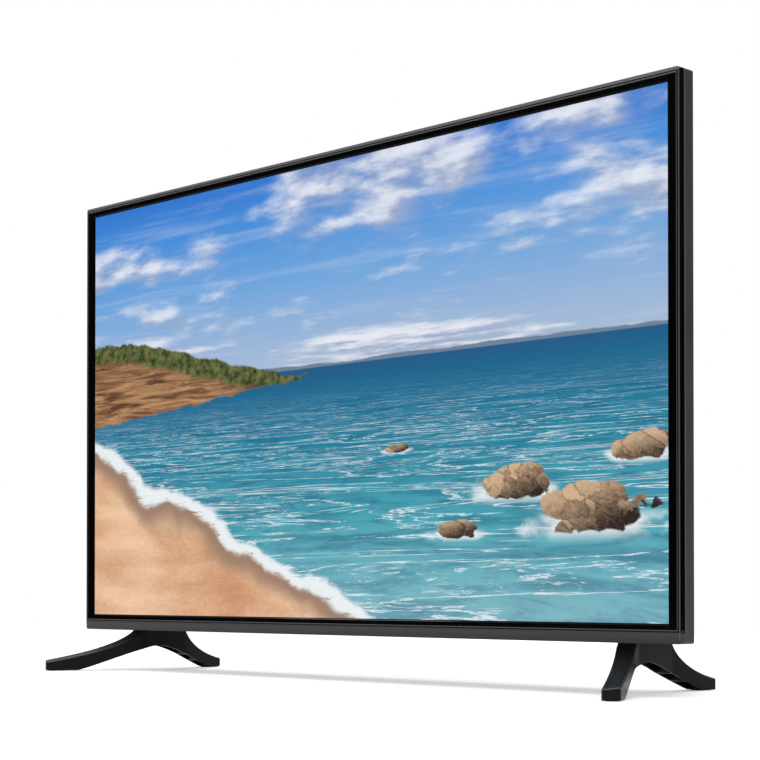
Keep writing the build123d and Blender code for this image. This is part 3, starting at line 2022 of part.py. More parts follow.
# Flat cable from the main board up to the panel board
cable_seat = panel_board_back + panel_cable_thickness / 2
with BuildPart() as panel_cable:
    strip_on_side(
        (
            (board_back + header_depth / 2, header_row + header_height / 2),
            (board_back + header_depth / 2, header_row + 2 * header_height),
            (board_front, header_row + 4 * header_height),
            (board_front, panel_board_middle - 3 * panel_board_height),
            (cable_seat, panel_board_middle - panel_board_height),
            (cable_seat, panel_board_middle - panel_board_height / 4),
        ),
        header_x - panel_cable_width / 2,
        panel_cable_width,
        panel_cable_thickness,
    )
finish(panel_cable, "panel_cable")


# Leads inside the housing, each from its header to what it serves
def lead(points):
    """Lead of straight runs joined by bends, through places given by depth."""
    with BuildPart() as wire:
        with BuildLine() as route:
            FilletPolyline(
                *[(x, front_y + depth, z) for x, depth, z in points],
                radius=lead_bend,
            )
        with BuildSketch(Plane(origin=route.line @ 0, z_dir=route.line % 0)):
            RegularPolygon(lead_radius, lead_side_count)
        sweep()
    return wire.part


lead_header_back = board_back + lead_header_depth
lead_depth = lead_header_back + lead_rise
second_depth = lead_depth + 3 * lead_radius
third_depth = second_depth + 3 * lead_radius
speaker_top = driver_top + speaker_height
low_run = speaker_top + lead_lift
with BuildPart() as speaker_leads:
    for side, column, depth in (
        (1, -lead_column, lead_depth),
        (-1, -lead_column - 2 * lead_bend, second_depth),
    ):
        start_x = side_header_x + side * lead_header_width / 4
        add(
            lead(
                (
                    (start_x, lead_header_back, speaker_header_row),
                    (start_x, depth, speaker_header_row),
                    (column, depth, speaker_header_row),
                    (column, depth, low_run),
                    (side * speaker_middle_x, depth, low_run),
                    (side * speaker_middle_x, depth, speaker_top),
                )
            )
        )
finish(speaker_leads, "speaker_leads")

with BuildPart() as power_lead:
    add(
        lead(
            (
                (power_header_x, lead_header_back, power_header_row),
                (power_header_x, lead_depth, power_header_row),
                (side_header_x, lead_depth, power_header_row),
                (side_header_x, lead_header_back, power_header_row),
            )
        )
    )
finish(power_lead, "power_lead")

key_lead_depth = (key_board_front + key_board_back) / 2
ir_lead_depth = ir_board_front + ir_board_length / 2
ir_board_top = ir_board_bottom + ir_board_thickness
ir_run = ir_board_top + lead_bend + 2 * lead_radius
with BuildPart() as control_leads:
    add(
        lead(
            (
                (-key_column + key_board_width / 2, key_lead_depth, key_header_row),
                (-upper_rear_half - 3 * lead_bend, key_lead_depth, key_header_row),
                (-upper_rear_half, second_depth - lead_bend, key_header_row),
                (key_header_x, second_depth - lead_bend, key_header_row),
                (key_header_x, lead_header_back, key_header_row),
            )
        )
    )
    add(
        lead(
            (
                (ir_middle, ir_lead_depth, ir_board_top),
                (ir_middle, ir_lead_depth, ir_run),
                (speaker_inner_half - 2 * lead_bend, ir_lead_depth, ir_run),
                (speaker_inner_half - 2 * lead_bend, third_depth, ir_run),
                (-lead_column / 2, third_depth, ir_run),
                (-lead_column / 2, third_depth, control_header_row),
                (side_header_x, third_depth, control_header_row),
                (side_header_x, lead_header_back, control_header_row),
            )
        )
    )
finish(control_leads, "control_leads")
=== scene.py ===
# %% [markdown]
# # A flat screen television
# The set is a thin direct-lit panel on two splayed feet. Its solid pieces come from the
# CAD model, so this script only dresses them: it gives each piece the surface that the
# real one has, adds the small details that are too fine for the solids, and sets up a
# white studio round it.
# %% Load the frame
import json
from math import pi, radians

import bmesh
import bpy
from mathutils import Matrix, Vector

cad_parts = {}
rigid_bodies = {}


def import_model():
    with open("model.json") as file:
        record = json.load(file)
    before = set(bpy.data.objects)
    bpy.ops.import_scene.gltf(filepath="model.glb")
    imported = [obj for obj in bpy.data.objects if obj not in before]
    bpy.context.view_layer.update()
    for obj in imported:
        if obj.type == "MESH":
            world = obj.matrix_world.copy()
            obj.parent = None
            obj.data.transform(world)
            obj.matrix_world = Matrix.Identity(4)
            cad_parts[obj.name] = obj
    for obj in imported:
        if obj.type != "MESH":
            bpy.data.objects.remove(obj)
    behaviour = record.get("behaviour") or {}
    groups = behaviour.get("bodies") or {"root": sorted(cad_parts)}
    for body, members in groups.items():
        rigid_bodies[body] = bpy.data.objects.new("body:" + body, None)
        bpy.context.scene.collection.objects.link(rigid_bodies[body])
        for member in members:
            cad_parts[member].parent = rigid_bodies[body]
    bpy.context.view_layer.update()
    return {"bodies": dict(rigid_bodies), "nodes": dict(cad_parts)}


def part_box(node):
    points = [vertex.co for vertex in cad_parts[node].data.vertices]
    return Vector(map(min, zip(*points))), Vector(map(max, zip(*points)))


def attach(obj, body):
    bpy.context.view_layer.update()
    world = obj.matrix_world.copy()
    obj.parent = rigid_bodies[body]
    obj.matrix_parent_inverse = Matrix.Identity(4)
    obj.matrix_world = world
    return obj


mm = 0.001
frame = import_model()
nodes = frame["nodes"]

# %% [markdown]
# ## Helpers for shader nodes
# Shader trees are built from a few kinds of node, so a few short helpers cover most of
# them. A value can be a number or another node's output: an output is linked and a
# number is set on the socket.
# %% Node helpers
def set_inputs(tree, node, inputs):
    for key, value in inputs.items():
        if isinstance(value, bpy.types.NodeSocket):
            tree.links.new(value, node.inputs[key])
        else:
            node.inputs[key].default_value = value


def put(tree, kind, inputs=None, **settings):
    node = tree.nodes.new(kind)
    for name, value in settings.items():
        setattr(node, name, value)
    set_inputs(tree, node, inputs or {})
    return node


def calc(tree, operation, *values):
    inputs = dict(enumerate(values))
    return put(tree, "ShaderNodeMath", inputs, operation=operation).outputs[0]


def spread(tree, value, low, high, start=0.0, end=1.0, smooth=True):
    kind = "SMOOTHSTEP" if smooth else "LINEAR"
    inputs = {0: value, 1: low, 2: high, 3: start, 4: end}
    return put(tree, "ShaderNodeMapRange", inputs, interpolation_type=kind).outputs[0]


def blend(tree, share, first, second):
    inputs = {0: share, 6: first, 7: second}
    return put(tree, "ShaderNodeMix", inputs, data_type="RGBA").outputs[2]


print("sums, ranges and blends ready")

# %% [markdown]
# Patterns start from noise or from cells, and some are stretched along one axis first.
# A ramp gives a row of colours along a share from 0 to 1. Colours that were judged are
# written as the 0 to 255 values of a screen and turned into linear light.
# %% Pattern and colour helpers
def noise(tree, where, scale, detail=4.0, roughness=0.55, distortion=0.0):
    inputs = {"Vector": where, "Scale": scale, "Detail": detail, "Roughness": roughness}
    inputs["Distortion"] = distortion
    return put(tree, "ShaderNodeTexNoise", inputs).outputs[0]


def stretched(tree, where, scale):
    return put(tree, "ShaderNodeMapping", {"Vector": where, "Scale": scale}).outputs[0]


def split_place(tree, where):
    return put(tree, "ShaderNodeSeparateXYZ", {0: where}).outputs


def colour_ramp(tree, share, first, last, between):
    node = put(tree, "ShaderNodeValToRGB", {0: share})
    stops = node.color_ramp.elements
    stops[0].color = first
    stops[1].color = last
    for position, tone in between:
        stops.new(position).color = tone
    return node.outputs[0]


def grey(level, blue_cast=0.0):
    return (level, level, level + blue_cast, 1.0)


def linear(red, green, blue):
    return tuple((c / 255) ** 2.2 for c in (red, green, blue)) + (1.0,)


print("patterns and colours ready")

# %% [markdown]
# An effect that more than one finish uses is a node group of its own. The helper names
# its inputs and outputs and gives back the sockets to build between.
# %% Group helpers
VECTOR, FLOAT, COLOR = "NodeSocketVector", "NodeSocketFloat", "NodeSocketColor"


def new_group(name, inputs, outputs):
    tree = bpy.data.node_groups.new(name, "ShaderNodeTree")
    for label, kind in inputs:
        tree.interface.new_socket(label, in_out="INPUT", socket_type=kind)
    for label, kind in outputs:
        tree.interface.new_socket(label, in_out="OUTPUT", socket_type=kind)
    entry = tree.nodes.new("NodeGroupInput")
    leave = tree.nodes.new("NodeGroupOutput")
    return tree, entry.outputs, leave.inputs


def group_node(tree, group, inputs):
    node = put(tree, "ShaderNodeGroup", node_tree=group)
    set_inputs(tree, node, inputs)
    return node.outputs


print("group helpers ready")

# %% [markdown]
# ## Moulded grain
# Injection-moulded covers carry a spark-eroded grain: tiny flat pits, a little uneven.
# A fine cell pattern under a finer noise gives the pits, and a wide soft noise gives the
# slow change of shine across a large moulding. The group gives a mask and a height only,
# so each plastic decides for itself how dark and how shiny it is.
# %% Moulded grain group
grain, grain_in, grain_out = new_group(
    "moulded_grain",
    [("Where", VECTOR), ("Grain Scale", FLOAT), ("Flow Scale", FLOAT)],
    [("Height", FLOAT), ("Flow", FLOAT)],
)
cells = put(
    grain, "ShaderNodeTexVoronoi",
    {"Vector": grain_in["Where"], "Scale": grain_in["Grain Scale"]}, feature="SMOOTH_F1",
)
fine = noise(grain, grain_in["Where"], grain_in["Grain Scale"], 3.0, 0.6)
pits = calc(grain, "MULTIPLY_ADD", cells.outputs["Distance"], 0.7, fine)
flow = noise(grain, grain_in["Where"], grain_in["Flow Scale"], 5.0, 0.55, 0.6)
grain.links.new(pits, grain_out["Height"])
grain.links.new(flow, grain_out["Flow"])
print("group:", grain.name)

# %% [markdown]
# ## Hairlines
# The trim is dark grey with a drawn look: very fine lines along its length. Noise that is
# squeezed across the line and stretched along it gives them. The stretch is an input, so
# that the same group serves the trim, the pressed steel and the screws.
# %% Hairline group
hairline, hair_in, hair_out = new_group(
    "hairlines",
    [("Where", VECTOR), ("Stretch", VECTOR), ("Scale", FLOAT)],
    [("Line", FLOAT), ("Patch", FLOAT)],
)
pulled = stretched(hairline, hair_in["Where"], hair_in["Stretch"])
hairline.links.new(noise(hairline, pulled, hair_in["Scale"], 4.0, 0.7), hair_out["Line"])
hairline.links.new(noise(hairline, hair_in["Where"], 14.0, 4.0, 0.6), hair_out["Patch"])
print("group:", hairline.name)

# %% [markdown]
# ## Handling dust
# Even a new set has a trace of dust on what faces up. The mask grows with the upward
# part of the normal and is broken up by noise. The cover, the feet and the pads use it.
# %% Dust group
dust, dust_in, dust_out = new_group("settled_dust", [("Where", VECTOR)], [("Mask", FLOAT)])
facing = put(dust, "ShaderNodeNewGeometry").outputs["Normal"]
upward = split_place(dust, facing)["Z"]
motes = noise(dust, dust_in["Where"], 420.0, 6.0, 0.75)
settled = calc(dust, "MULTIPLY", spread(dust, upward, 0.35, 0.95), spread(dust, motes, 0.45, 0.8))
dust.links.new(settled, dust_out["Mask"])
print("group:", dust.name)

# %% [markdown]
# ## The picture
# A television photographed for sale shows a bright landscape. This one is a general
# seaside view made of noise and curves: a blue sky with soft clouds, a far low shore, a
# green sea with bands of foam, a beach that runs in from the lower left, a rounded
# headland behind it and a few low boulders in the water on the right. It is worked out
# from two numbers, the share across and the share up the picture. The whole view is one
# group, so the helpers of this part leave out the name of the tree.
# %% Picture: helpers
scenery, view_in, view_out = new_group(
    "seaside_view", [("Across", FLOAT), ("Up", FLOAT)], [("Color", COLOR)]
)


def times(first, second):
    return calc(scenery, "MULTIPLY", first, second)


def plus(first, second):
    return calc(scenery, "ADD", first, second)


def minus(first, second):
    return calc(scenery, "SUBTRACT", first, second)


def scaled(value, factor, offset):
    return calc(scenery, "MULTIPLY_ADD", value, factor, offset)


def ease(value, low, high, start=0.0, end=1.0, smooth=True):
    return spread(scenery, value, low, high, start, end, smooth)


def mottle(where, *settings):
    return noise(scenery, where, *settings)


def paint(share, first, second):
    return blend(scenery, share, first, second)


def place(x, y, z=0.0):
    return put(scenery, "ShaderNodeCombineXYZ", {0: x, 1: y, 2: z}).outputs[0]


across, up = view_in["Across"], view_in["Up"]
picture_ratio = 1.778
skyline = 0.555
wide = times(across, picture_ratio)
print("picture helpers ready")

# %% [markdown]
# The sky is pale at the skyline and deeper overhead. Clouds are one noise seen twice: the
# second reading lies a little higher and to the side, and where the first is thicker
# than the second the cloud faces the light. Thin streaks of high cloud lie over them.
# %% Picture: sky
height_in_sky = ease(up, skyline, 1.0, smooth=False)
sky_between = (
    (0.12, linear(158, 184, 218)),
    (0.45, linear(112, 166, 222)),
    (0.8, linear(70, 140, 218)),
)
clear_sky = colour_ramp(
    scenery, height_in_sky, linear(168, 188, 214), linear(52, 118, 208), sky_between
)
lift = calc(scenery, "POWER", calc(scenery, "MAXIMUM", height_in_sky, 0.02), 0.6)

cloud_look = (2.3, 9.0, 0.55, 0.1)
cloud_stretch, cloud_layer = 2.1, 3.7
cloud_place = place(wide, times(lift, cloud_stretch), cloud_layer)
lit_place = place(plus(wide, -0.035), scaled(lift, cloud_stretch, 0.09), cloud_layer)
billow = mottle(cloud_place, *cloud_look)
billow_above = mottle(lit_place, *cloud_look)
cloud_mask = ease(billow, 0.47, 0.66)
cloud_light = ease(minus(billow, billow_above), -0.06, 0.10)
cloud_tone = paint(cloud_light, linear(158, 172, 202), linear(238, 240, 246))
sky_tone = paint(times(cloud_mask, 0.88), clear_sky, cloud_tone)

streak_place = place(times(wide, 0.6), times(lift, 6.0), 9.1)
streaks = ease(mottle(streak_place, 3.0, 7.0, 0.6, 0.4), 0.52, 0.75)
sky_tone = paint(times(streaks, 0.25), sky_tone, linear(206, 216, 234))
print("sky ready")

# %% [markdown]
# The sea is a flat sheet seen at a slant, so its pattern is read at one over the distance
# below the skyline: waves crowd together towards the skyline and open out in front. The
# small offset keeps that division finite at the skyline itself.
# %% Picture: sea
nearness = ease(up, skyline, 0.0, smooth=False)
depth = calc(scenery, "DIVIDE", 1.0, plus(nearness, 0.07))
sideways = times(minus(across, 0.62), depth)
water_place = place(times(sideways, 1.3), times(depth, 2.4), 1.3)
chop = mottle(water_place, 5.0, 8.0, 0.68, 0.5)
sea_between = (
    (0.08, linear(36, 108, 148)),
    (0.3, linear(44, 138, 166)),
    (0.62, linear(78, 166, 182)),
)
still_sea = colour_ramp(
    scenery, nearness, linear(38, 92, 140), linear(128, 184, 196), sea_between
)
sea_tone = paint(ease(chop, 0.35, 0.62, 0.55, 0.0), still_sea, linear(24, 84, 118))
print("sea ready")

# %% [markdown]
# Foam comes in two kinds: thin crests, where the slow rolling noise passes one level, and
# patches of lace behind them. Both fade out towards the skyline.
# %% Picture: foam
roll = place(times(sideways, 0.35), times(depth, 1.9), 5.5)
rollers = mottle(roll, 3.4, 7.0, 0.62, 1.6)
crest = ease(calc(scenery, "ABSOLUTE", minus(rollers, 0.52)), 0.018, 0.0)
crest = times(crest, ease(nearness, 0.06, 0.30))
lace = ease(mottle(water_place, 13.0, 8.0, 0.75, 1.2), 0.52, 0.66)
wash = times(ease(rollers, 0.53, 0.62), lace)
wash = times(wash, ease(nearness, 0.10, 0.45))
foam = calc(scenery, "MAXIMUM", crest, wash)
sea_tone = paint(foam, sea_tone, linear(226, 238, 244))
print("foam ready")

# %% [markdown]
# The beach meets the water along a wavering line: dry sand, a darker wet strip beside
# the water and a rim of foam on it.
# %% Picture: beach
waver = mottle(place(wide, up, 2.0), 3.2, 5.0, 0.5)
shore = scaled(waver, 0.26, scaled(across, -0.78, 0.30))
inland = minus(shore, up)
sand_grain = mottle(place(wide, times(up, 2.6)), 60.0, 8.0, 0.8)
sand_swell = mottle(place(wide, times(up, 3.5), 3.0), 3.0, 3.0, 0.5)
sand_share = scaled(sand_swell, 0.9, times(sand_grain, 0.5))
sand = paint(ease(sand_share, 0.45, 0.95), linear(200, 142, 104), linear(244, 204, 168))
wet = paint(ease(inland, 0.03, 0.10), linear(158, 128, 108), sand)
rim = ease(calc(scenery, "ABSOLUTE", scaled(lace, 0.02, inland)), 0.028, 0.008)
ground = paint(ease(inland, -0.004, 0.006), sea_tone, wet)
ground = paint(rim, ground, linear(236, 242, 244))
print("beach ready")

# %% [markdown]
# The headland is a soft hump over the skyline with brown banks and scrub on top. Its
# upper line is a bell curve broken up by noise, and its foot runs down to the beach.
# %% Picture: headland
bell_base = 2.718
hump = times(minus(across, 0.03), 3.4)
hump = calc(scenery, "POWER", bell_base, times(times(hump, hump), -1.0))
ragged = mottle(place(wide, 0.0, 6.0), 9.0, 7.0, 0.6)
profile = scaled(hump, 0.15, skyline - 0.035)
profile = scaled(minus(ragged, 0.5), 0.06, profile)
foot_line = scaled(across, 0.16, scaled(ragged, 0.05, skyline - 0.115))
below_top = ease(minus(profile, up), -0.003, 0.004)
above_foot = ease(minus(up, foot_line), -0.003, 0.004)
on_land = times(below_top, above_foot)
print("headland outline ready")

# %% [markdown]
# The banks are layered, so their noise is squeezed upwards. The scrub begins at a ragged
# line just under the top. Beyond the water a low grey shore lies along the skyline.
# %% Picture: banks, scrub and far shore
bank_place = place(times(wide, 0.5), times(up, 5.0), 8.0)
bank_grain = mottle(bank_place, 12.0, 8.0, 0.7, 0.8)
bank = paint(ease(bank_grain, 0.36, 0.66), linear(92, 62, 44), linear(192, 146, 104))
scrub_grain = mottle(place(wide, up, 4.0), 44.0, 6.0, 0.7)
scrub = paint(ease(scrub_grain, 0.35, 0.65), linear(44, 58, 36), linear(112, 118, 70))
scrub_edge = scaled(bank_grain, 0.09, minus(up, profile))
land = paint(ease(scrub_edge, -0.012, 0.008), bank, scrub)

far_ragged = mottle(place(wide, 0.0, 1.0), 4.0, 5.0)
far_shore = scaled(far_ragged, 0.04, skyline - 0.014)
far_mask = times(
    ease(minus(far_shore, up), -0.002, 0.002), ease(up, skyline - 0.004, skyline + 0.001)
)
water_or_sky = ease(up, skyline - 0.002, skyline + 0.002)
picture = paint(water_or_sky, ground, sky_tone)
picture = paint(far_mask, picture, linear(112, 128, 150))
picture = paint(on_land, picture, land)
print("shore ready")

# %% [markdown]
# Each boulder is an ellipse whose outline and faces follow a cell pattern, so that it looks
# broken rather than round. The place at which the cells are read is bent by noise, or
# they would look like a mosaic.
# %% Picture: stone pattern
facet_scale = 15.0
stone_warp = times(mottle(place(wide, up, 5.1), 22.0, 5.0, 0.6), 0.09)
stone_place = place(plus(wide, stone_warp), scaled(up, 1.5, times(stone_warp, -0.8)), 2.2)
facet_inputs = {"Vector": stone_place, "Scale": facet_scale}
facets = put(scenery, "ShaderNodeTexVoronoi", facet_inputs, feature="F1").outputs
facet_edges = put(
    scenery, "ShaderNodeTexVoronoi", facet_inputs, feature="DISTANCE_TO_EDGE"
).outputs["Distance"]
cell_tone = put(scenery, "ShaderNodeSeparateColor", {0: facets["Color"]}).outputs[0]
cracks = ease(facet_edges, 0.0, 0.05, 0.55, 1.0)
outline = scaled(mottle(stone_place, 30.0, 6.0, 0.6), 0.35, facets["Distance"])
stone_grain = mottle(stone_place, 60.0, 8.0, 0.75)
print("stone pattern ready")

# %% [markdown]
# The boulders are listed by the middle, the height and the half sizes of each, in shares
# of the picture. The upper left of each is lit, its foot is cut off where it meets the
# water, and a rim of foam lies round the foot.
# %% Picture: boulders
boulders = (
    (0.79, 0.275, 0.060, 0.048),
    (0.90, 0.215, 0.090, 0.066),
    (0.70, 0.185, 0.040, 0.028),
    (0.965, 0.33, 0.050, 0.036),
    (0.60, 0.36, 0.024, 0.013),
)
for middle, level, half_width, half_height in boulders:
    dx = calc(scenery, "DIVIDE", minus(across, middle), half_width)
    dy = calc(scenery, "DIVIDE", minus(up, level), half_height)
    from_middle = calc(scenery, "SQRT", scaled(dx, dx, times(dy, dy)))
    edge = scaled(minus(outline, 0.5), 0.75, from_middle)
    above_water = ease(scaled(outline, 0.35, dy), -0.46, -0.36)
    inside = times(ease(edge, 1.0, 0.93), above_water)
    ring = times(ease(edge, 1.4, 1.0), ease(dy, 0.05, -0.3))
    ring = times(ring, ease(dy, -1.0, -0.5))
    light = scaled(dx, -0.42, times(dy, 0.5))
    light = scaled(stone_grain, 1.3, light)
    light = scaled(cell_tone, 0.45, light)
    stone = paint(ease(light, 0.3, 1.5), linear(48, 38, 34), linear(210, 176, 142))
    stone = paint(cracks, linear(34, 28, 26), stone)
    picture = paint(times(ring, 0.85), picture, linear(232, 240, 244))
    picture = paint(inside, picture, stone)
scenery.links.new(picture, view_out["Color"])
print("boulders:", len(boulders), "picture nodes:", len(scenery.nodes))

# %% [markdown]
# ## Finishes
# Every finish starts from the piece's own Object coordinates, which are metres in the
# frame of the set, so grain and lines keep their real size. The rounded normal of the
# Bevel node stands for the small radius that every moulded or pressed edge has, which is
# what catches the thin lights along the edges of the real set.
# %% Material helpers
def new_material(name):
    material = bpy.data.materials.new(name)
    material.use_nodes = True
    tree = material.node_tree
    tree.nodes.clear()
    surface = put(tree, "ShaderNodeBsdfPrincipled")
    put(tree, "ShaderNodeOutputMaterial", {"Surface": surface.outputs[0]})
    where = put(tree, "ShaderNodeTexCoord").outputs["Object"]
    return material, tree, surface, where


def feed(tree, surface, **sockets):
    labels = {name.replace("_", " ").title().replace("Ior", "IOR"): value
              for name, value in sockets.items()}
    set_inputs(tree, surface, labels)


def relief(tree, height_value, strength, distance, radius):
    rounded = put(tree, "ShaderNodeBevel", {"Radius": radius}, samples=4).outputs[0]
    inputs = {"Strength": strength, "Distance": distance, "Height": height_value}
    inputs["Normal"] = rounded
    return put(tree, "ShaderNodeBump", inputs).outputs[0]


def dress(material, *names):
    for name in names:
        piece = nodes[name]
        piece.data.materials.clear()
        piece.data.materials.append(material)
    print(material.name, "->", ", ".join(names))


print("material helpers ready")

# %% [markdown]
# ## Edges that catch the light
# Two painted highlights on black and dark grey mouldings are each a mask over the colour.
# The front edge of the cover has a fine paler line, a painted highlight. The crests of the
# feet carry painted highlights: the mask is full where the surface leans between upright
# and level and near the floor, and it is uneven in wide patches.
# %% Painted highlight masks
edge_highlight_end, edge_highlight_full = 1.1 * mm, 0.8 * mm
toe_level, neck_level = 10 * mm, 28 * mm


# Mask of the painted highlight along the front edge.
def edge_highlight_line(tree, where, front):
    behind_front = split_place(tree, where)["Y"]
    return spread(tree, behind_front, front + edge_highlight_end, front + edge_highlight_full)


# Mask of the painted highlights on the crests of the feet.
def crest_highlight_mask(tree, where, patches):
    facing_now = put(tree, "ShaderNodeNewGeometry").outputs["Normal"]
    upright = split_place(tree, facing_now)["Z"]
    leaning = calc(
        tree, "MULTIPLY", spread(tree, upright, 0.10, 0.35), spread(tree, upright, 1.05, 0.72)
    )
    rise_now = split_place(tree, where)["Z"]
    low_down = spread(tree, rise_now, neck_level, toe_level, 0.15, 1.0)
    uneven = spread(tree, patches, 0.2, 0.6, 0.6, 1.0)
    return calc(tree, "MULTIPLY", calc(tree, "MULTIPLY", leaning, low_down), uneven)


print("edge masks ready")

# %% [markdown]
# ## Moulded plastic and metal
# A moulded plastic is its tone, a little lighter and darker in wide patches, with a shine
# that shifts with them and the grain as relief. Dust, a painted highlight along the front
# edge and painted highlights on the crests are laid over it where a piece has them. A
# metal has drawn lines instead of grain.
# %% Plastic and metal finishes
dust_tone = (0.42, 0.41, 0.39, 1.0)
patch_scale = 11.0


def moulded(
    name, tone, shine, grain_scale, grain_depth, radius, dusty=0.0, gloss=0.5,
    edge_highlight_front=None, crest_highlight_tone=0.0,
):
    material, tree, surface, where = new_material(name)
    inputs = {"Where": where, "Grain Scale": grain_scale, "Flow Scale": patch_scale}
    marks = group_node(tree, grain, inputs)
    light_tone = tuple(min(1.0, c * 1.22 + 0.0015) for c in tone) + (1.0,)
    dark_tone = tuple(c * 0.86 for c in tone) + (1.0,)
    colour = blend(tree, marks["Flow"], dark_tone, light_tone)
    rough = spread(tree, marks["Flow"], 0.3, 0.7, shine - 0.04, shine + 0.05)
    if dusty:
        settled_mask = group_node(tree, dust, {"Where": where})["Mask"]
        share = calc(tree, "MULTIPLY", settled_mask, dusty)
        colour = blend(tree, share, colour, dust_tone)
        rough = calc(tree, "MULTIPLY_ADD", share, 0.5, rough)
    # Painted highlight: a fine paler line along the front edge.
    if edge_highlight_front is not None:
        line = edge_highlight_line(tree, where, edge_highlight_front)
        colour = blend(tree, line, colour, tuple(c * 2.4 for c in tone) + (1.0,))
    # Painted highlights on the crests.
    if crest_highlight_tone:
        crests = crest_highlight_mask(tree, where, marks["Flow"])
        colour = blend(tree, crests, colour, (crest_highlight_tone, crest_highlight_tone, crest_highlight_tone * 1.06, 1.0))
    normal = relief(tree, marks["Height"], 0.35, grain_depth, radius)
    feed(
        tree, surface, base_color=colour, roughness=rough, normal=normal, specular_ior_level=gloss
    )
    return material


def metal(name, tone, shine, stretch, scale, radius=0.2 * mm):
    material, tree, surface, where = new_material(name)
    marks = group_node(tree, hairline, {"Where": where, "Stretch": stretch, "Scale": scale})
    dark_tone = tuple(c * 0.72 for c in tone) + (1.0,)
    colour = blend(tree, marks["Patch"], dark_tone, tone + (1.0,))
    rough = spread(tree, marks["Line"], 0.25, 0.75, shine - 0.08, shine + 0.1)
    normal = relief(tree, marks["Line"], 0.25, 0.03 * mm, radius)
    feed(tree, surface, base_color=colour, roughness=rough, metallic=1.0, normal=normal)
    return material


print("plastic and metal ready")

# %% [markdown]
# ## Trim frame
# The trim frame is dark grey with fine lines along its long sides and a satin shine. Light
# and shade are painted on it: its upright sides are darker than the top and the chin, as
# painted shade, the top is paler as painted light, and the chin darkens downwards as
# painted shade. The groove round the window is black, painted shade, and a thin painted
# highlight lies at the inner edge and one on the outer chamfer. One value, the distance
# outwards from the window, places all of these, so it comes first.
# %% Trim: distances
side_width, top_width, chin_height = 2.4 * mm, 4.4 * mm, 10.1 * mm
trim, tree, surface, where = new_material("trim_plastic")
low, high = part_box("trim_frame")
split = split_place(tree, where)
aside = calc(tree, "SUBTRACT", calc(tree, "ABSOLUTE", split["X"]), high[0] - side_width)
over = calc(tree, "SUBTRACT", split["Z"], high[2] - top_width)
under = calc(tree, "SUBTRACT", low[2] + chin_height, split["Z"])
behind = calc(tree, "SUBTRACT", split["Y"], low[1])
outwards = calc(tree, "MAXIMUM", aside, calc(tree, "MAXIMUM", over, under))
side_painted_shade = calc(tree, "GREATER_THAN", aside, calc(tree, "MAXIMUM", over, under))
top_painted_light = calc(tree, "GREATER_THAN", over, 0.0)
print("window reaches", round(high[0] - side_width, 4), "m to each side")

# %% [markdown]
# A mask that is full between two distances is the product of two steps, one that rises
# and one that falls. The painted shade of the groove keeps to the front face, and the
# painted highlight lines to the first fraction of a millimetre behind it.
# %% Trim: painted groove shade and highlight lines
# Painted shade: the groove round the window is drawn black.
groove_inner = spread(tree, outwards, 0.7 * mm, 0.9 * mm)
groove_outer = spread(tree, outwards, 1.9 * mm, 1.7 * mm)
on_front = calc(tree, "LESS_THAN", behind, 1.2 * mm)
groove = calc(tree, "MULTIPLY", calc(tree, "MULTIPLY", groove_inner, groove_outer), on_front)
# Painted highlights: thin lines at the inner edge, on the outer chamfer and along the top.
at_face = calc(tree, "LESS_THAN", behind, 0.2 * mm)
inner_highlight = calc(tree, "MULTIPLY", spread(tree, outwards, 0.5 * mm, 0.3 * mm), at_face)
near_face = spread(tree, behind, 0.6 * mm, 0.5 * mm)
chamfer = calc(tree, "MULTIPLY", near_face, spread(tree, aside, 1.8 * mm, 1.9 * mm))
top_highlight = calc(tree, "MULTIPLY", near_face, spread(tree, over, 3.8 * mm, 3.9 * mm))
painted_highlights = calc(tree, "MAXIMUM", inner_highlight, calc(tree, "MAXIMUM", chamfer, top_highlight))
print("groove and lines ready")

# %% [markdown]
# The tones are laid over one another: drawn lines, wide patches, the paler top as painted
# light, the chin that darkens downwards, the dark sides and the black groove as painted
# shade, and last the painted highlight lines.
# %% Trim: tones
marks = group_node(tree, hairline, {"Where": where, "Stretch": (0.4, 9.0, 9.0), "Scale": 260.0})
tone = blend(tree, marks["Line"], grey(0.042, 0.002), grey(0.064, 0.003))
tone = blend(tree, calc(tree, "MULTIPLY", marks["Patch"], 0.35), tone, grey(0.044, 0.002))
# Painted light on the paler top; painted shade on the chin and on the upright sides.
tone = blend(tree, calc(tree, "MULTIPLY", top_painted_light, 0.7), tone, grey(0.14, 0.005))
chin_painted_shade = spread(tree, under, 1.5 * mm, 9 * mm, smooth=False)
tone = blend(tree, calc(tree, "MULTIPLY", chin_painted_shade, 0.6), tone, grey(0.014, 0.001))
tone = blend(tree, calc(tree, "MULTIPLY", side_painted_shade, 0.9), tone, grey(0.003, 0.0005))
tone = blend(tree, groove, tone, grey(0.001))
tone = blend(tree, painted_highlights, tone, grey(0.085, 0.005))
rough = spread(tree, marks["Line"], 0.25, 0.75, 0.26, 0.36)
normal = relief(tree, marks["Line"], 0.2, 0.02 * mm, 0.4 * mm)
feed(tree, surface, base_color=tone, roughness=rough, normal=normal, specular_ior_level=0.2)
dress(trim, "trim_frame")

# %% [markdown]
# ## Border and side band
# The border round the picture and the band on the side are one moulding in gloss black:
# almost no colour of its own, a sharp reflection, and only the faintest wiping marks.
# %% Border and side band
gloss, tree, surface, where = new_material("gloss_black")
wipe = noise(tree, stretched(tree, where, (1.0, 1.0, 5.0)), 22.0, 8.0, 0.7, 1.2)
motes = spread(tree, noise(tree, where, 900.0, 4.0, 0.8), 0.74, 0.80)
rough = spread(tree, wipe, 0.35, 0.75, 0.05, 0.13)
colour = blend(tree, motes, grey(0.0012, 0.0001), grey(0.012))
normal = relief(tree, wipe, 0.05, 0.02 * mm, 0.25 * mm)
feed(tree, surface, base_color=colour, roughness=rough, normal=normal, specular_ior_level=0.06)
dress(gloss, "front_bezel")

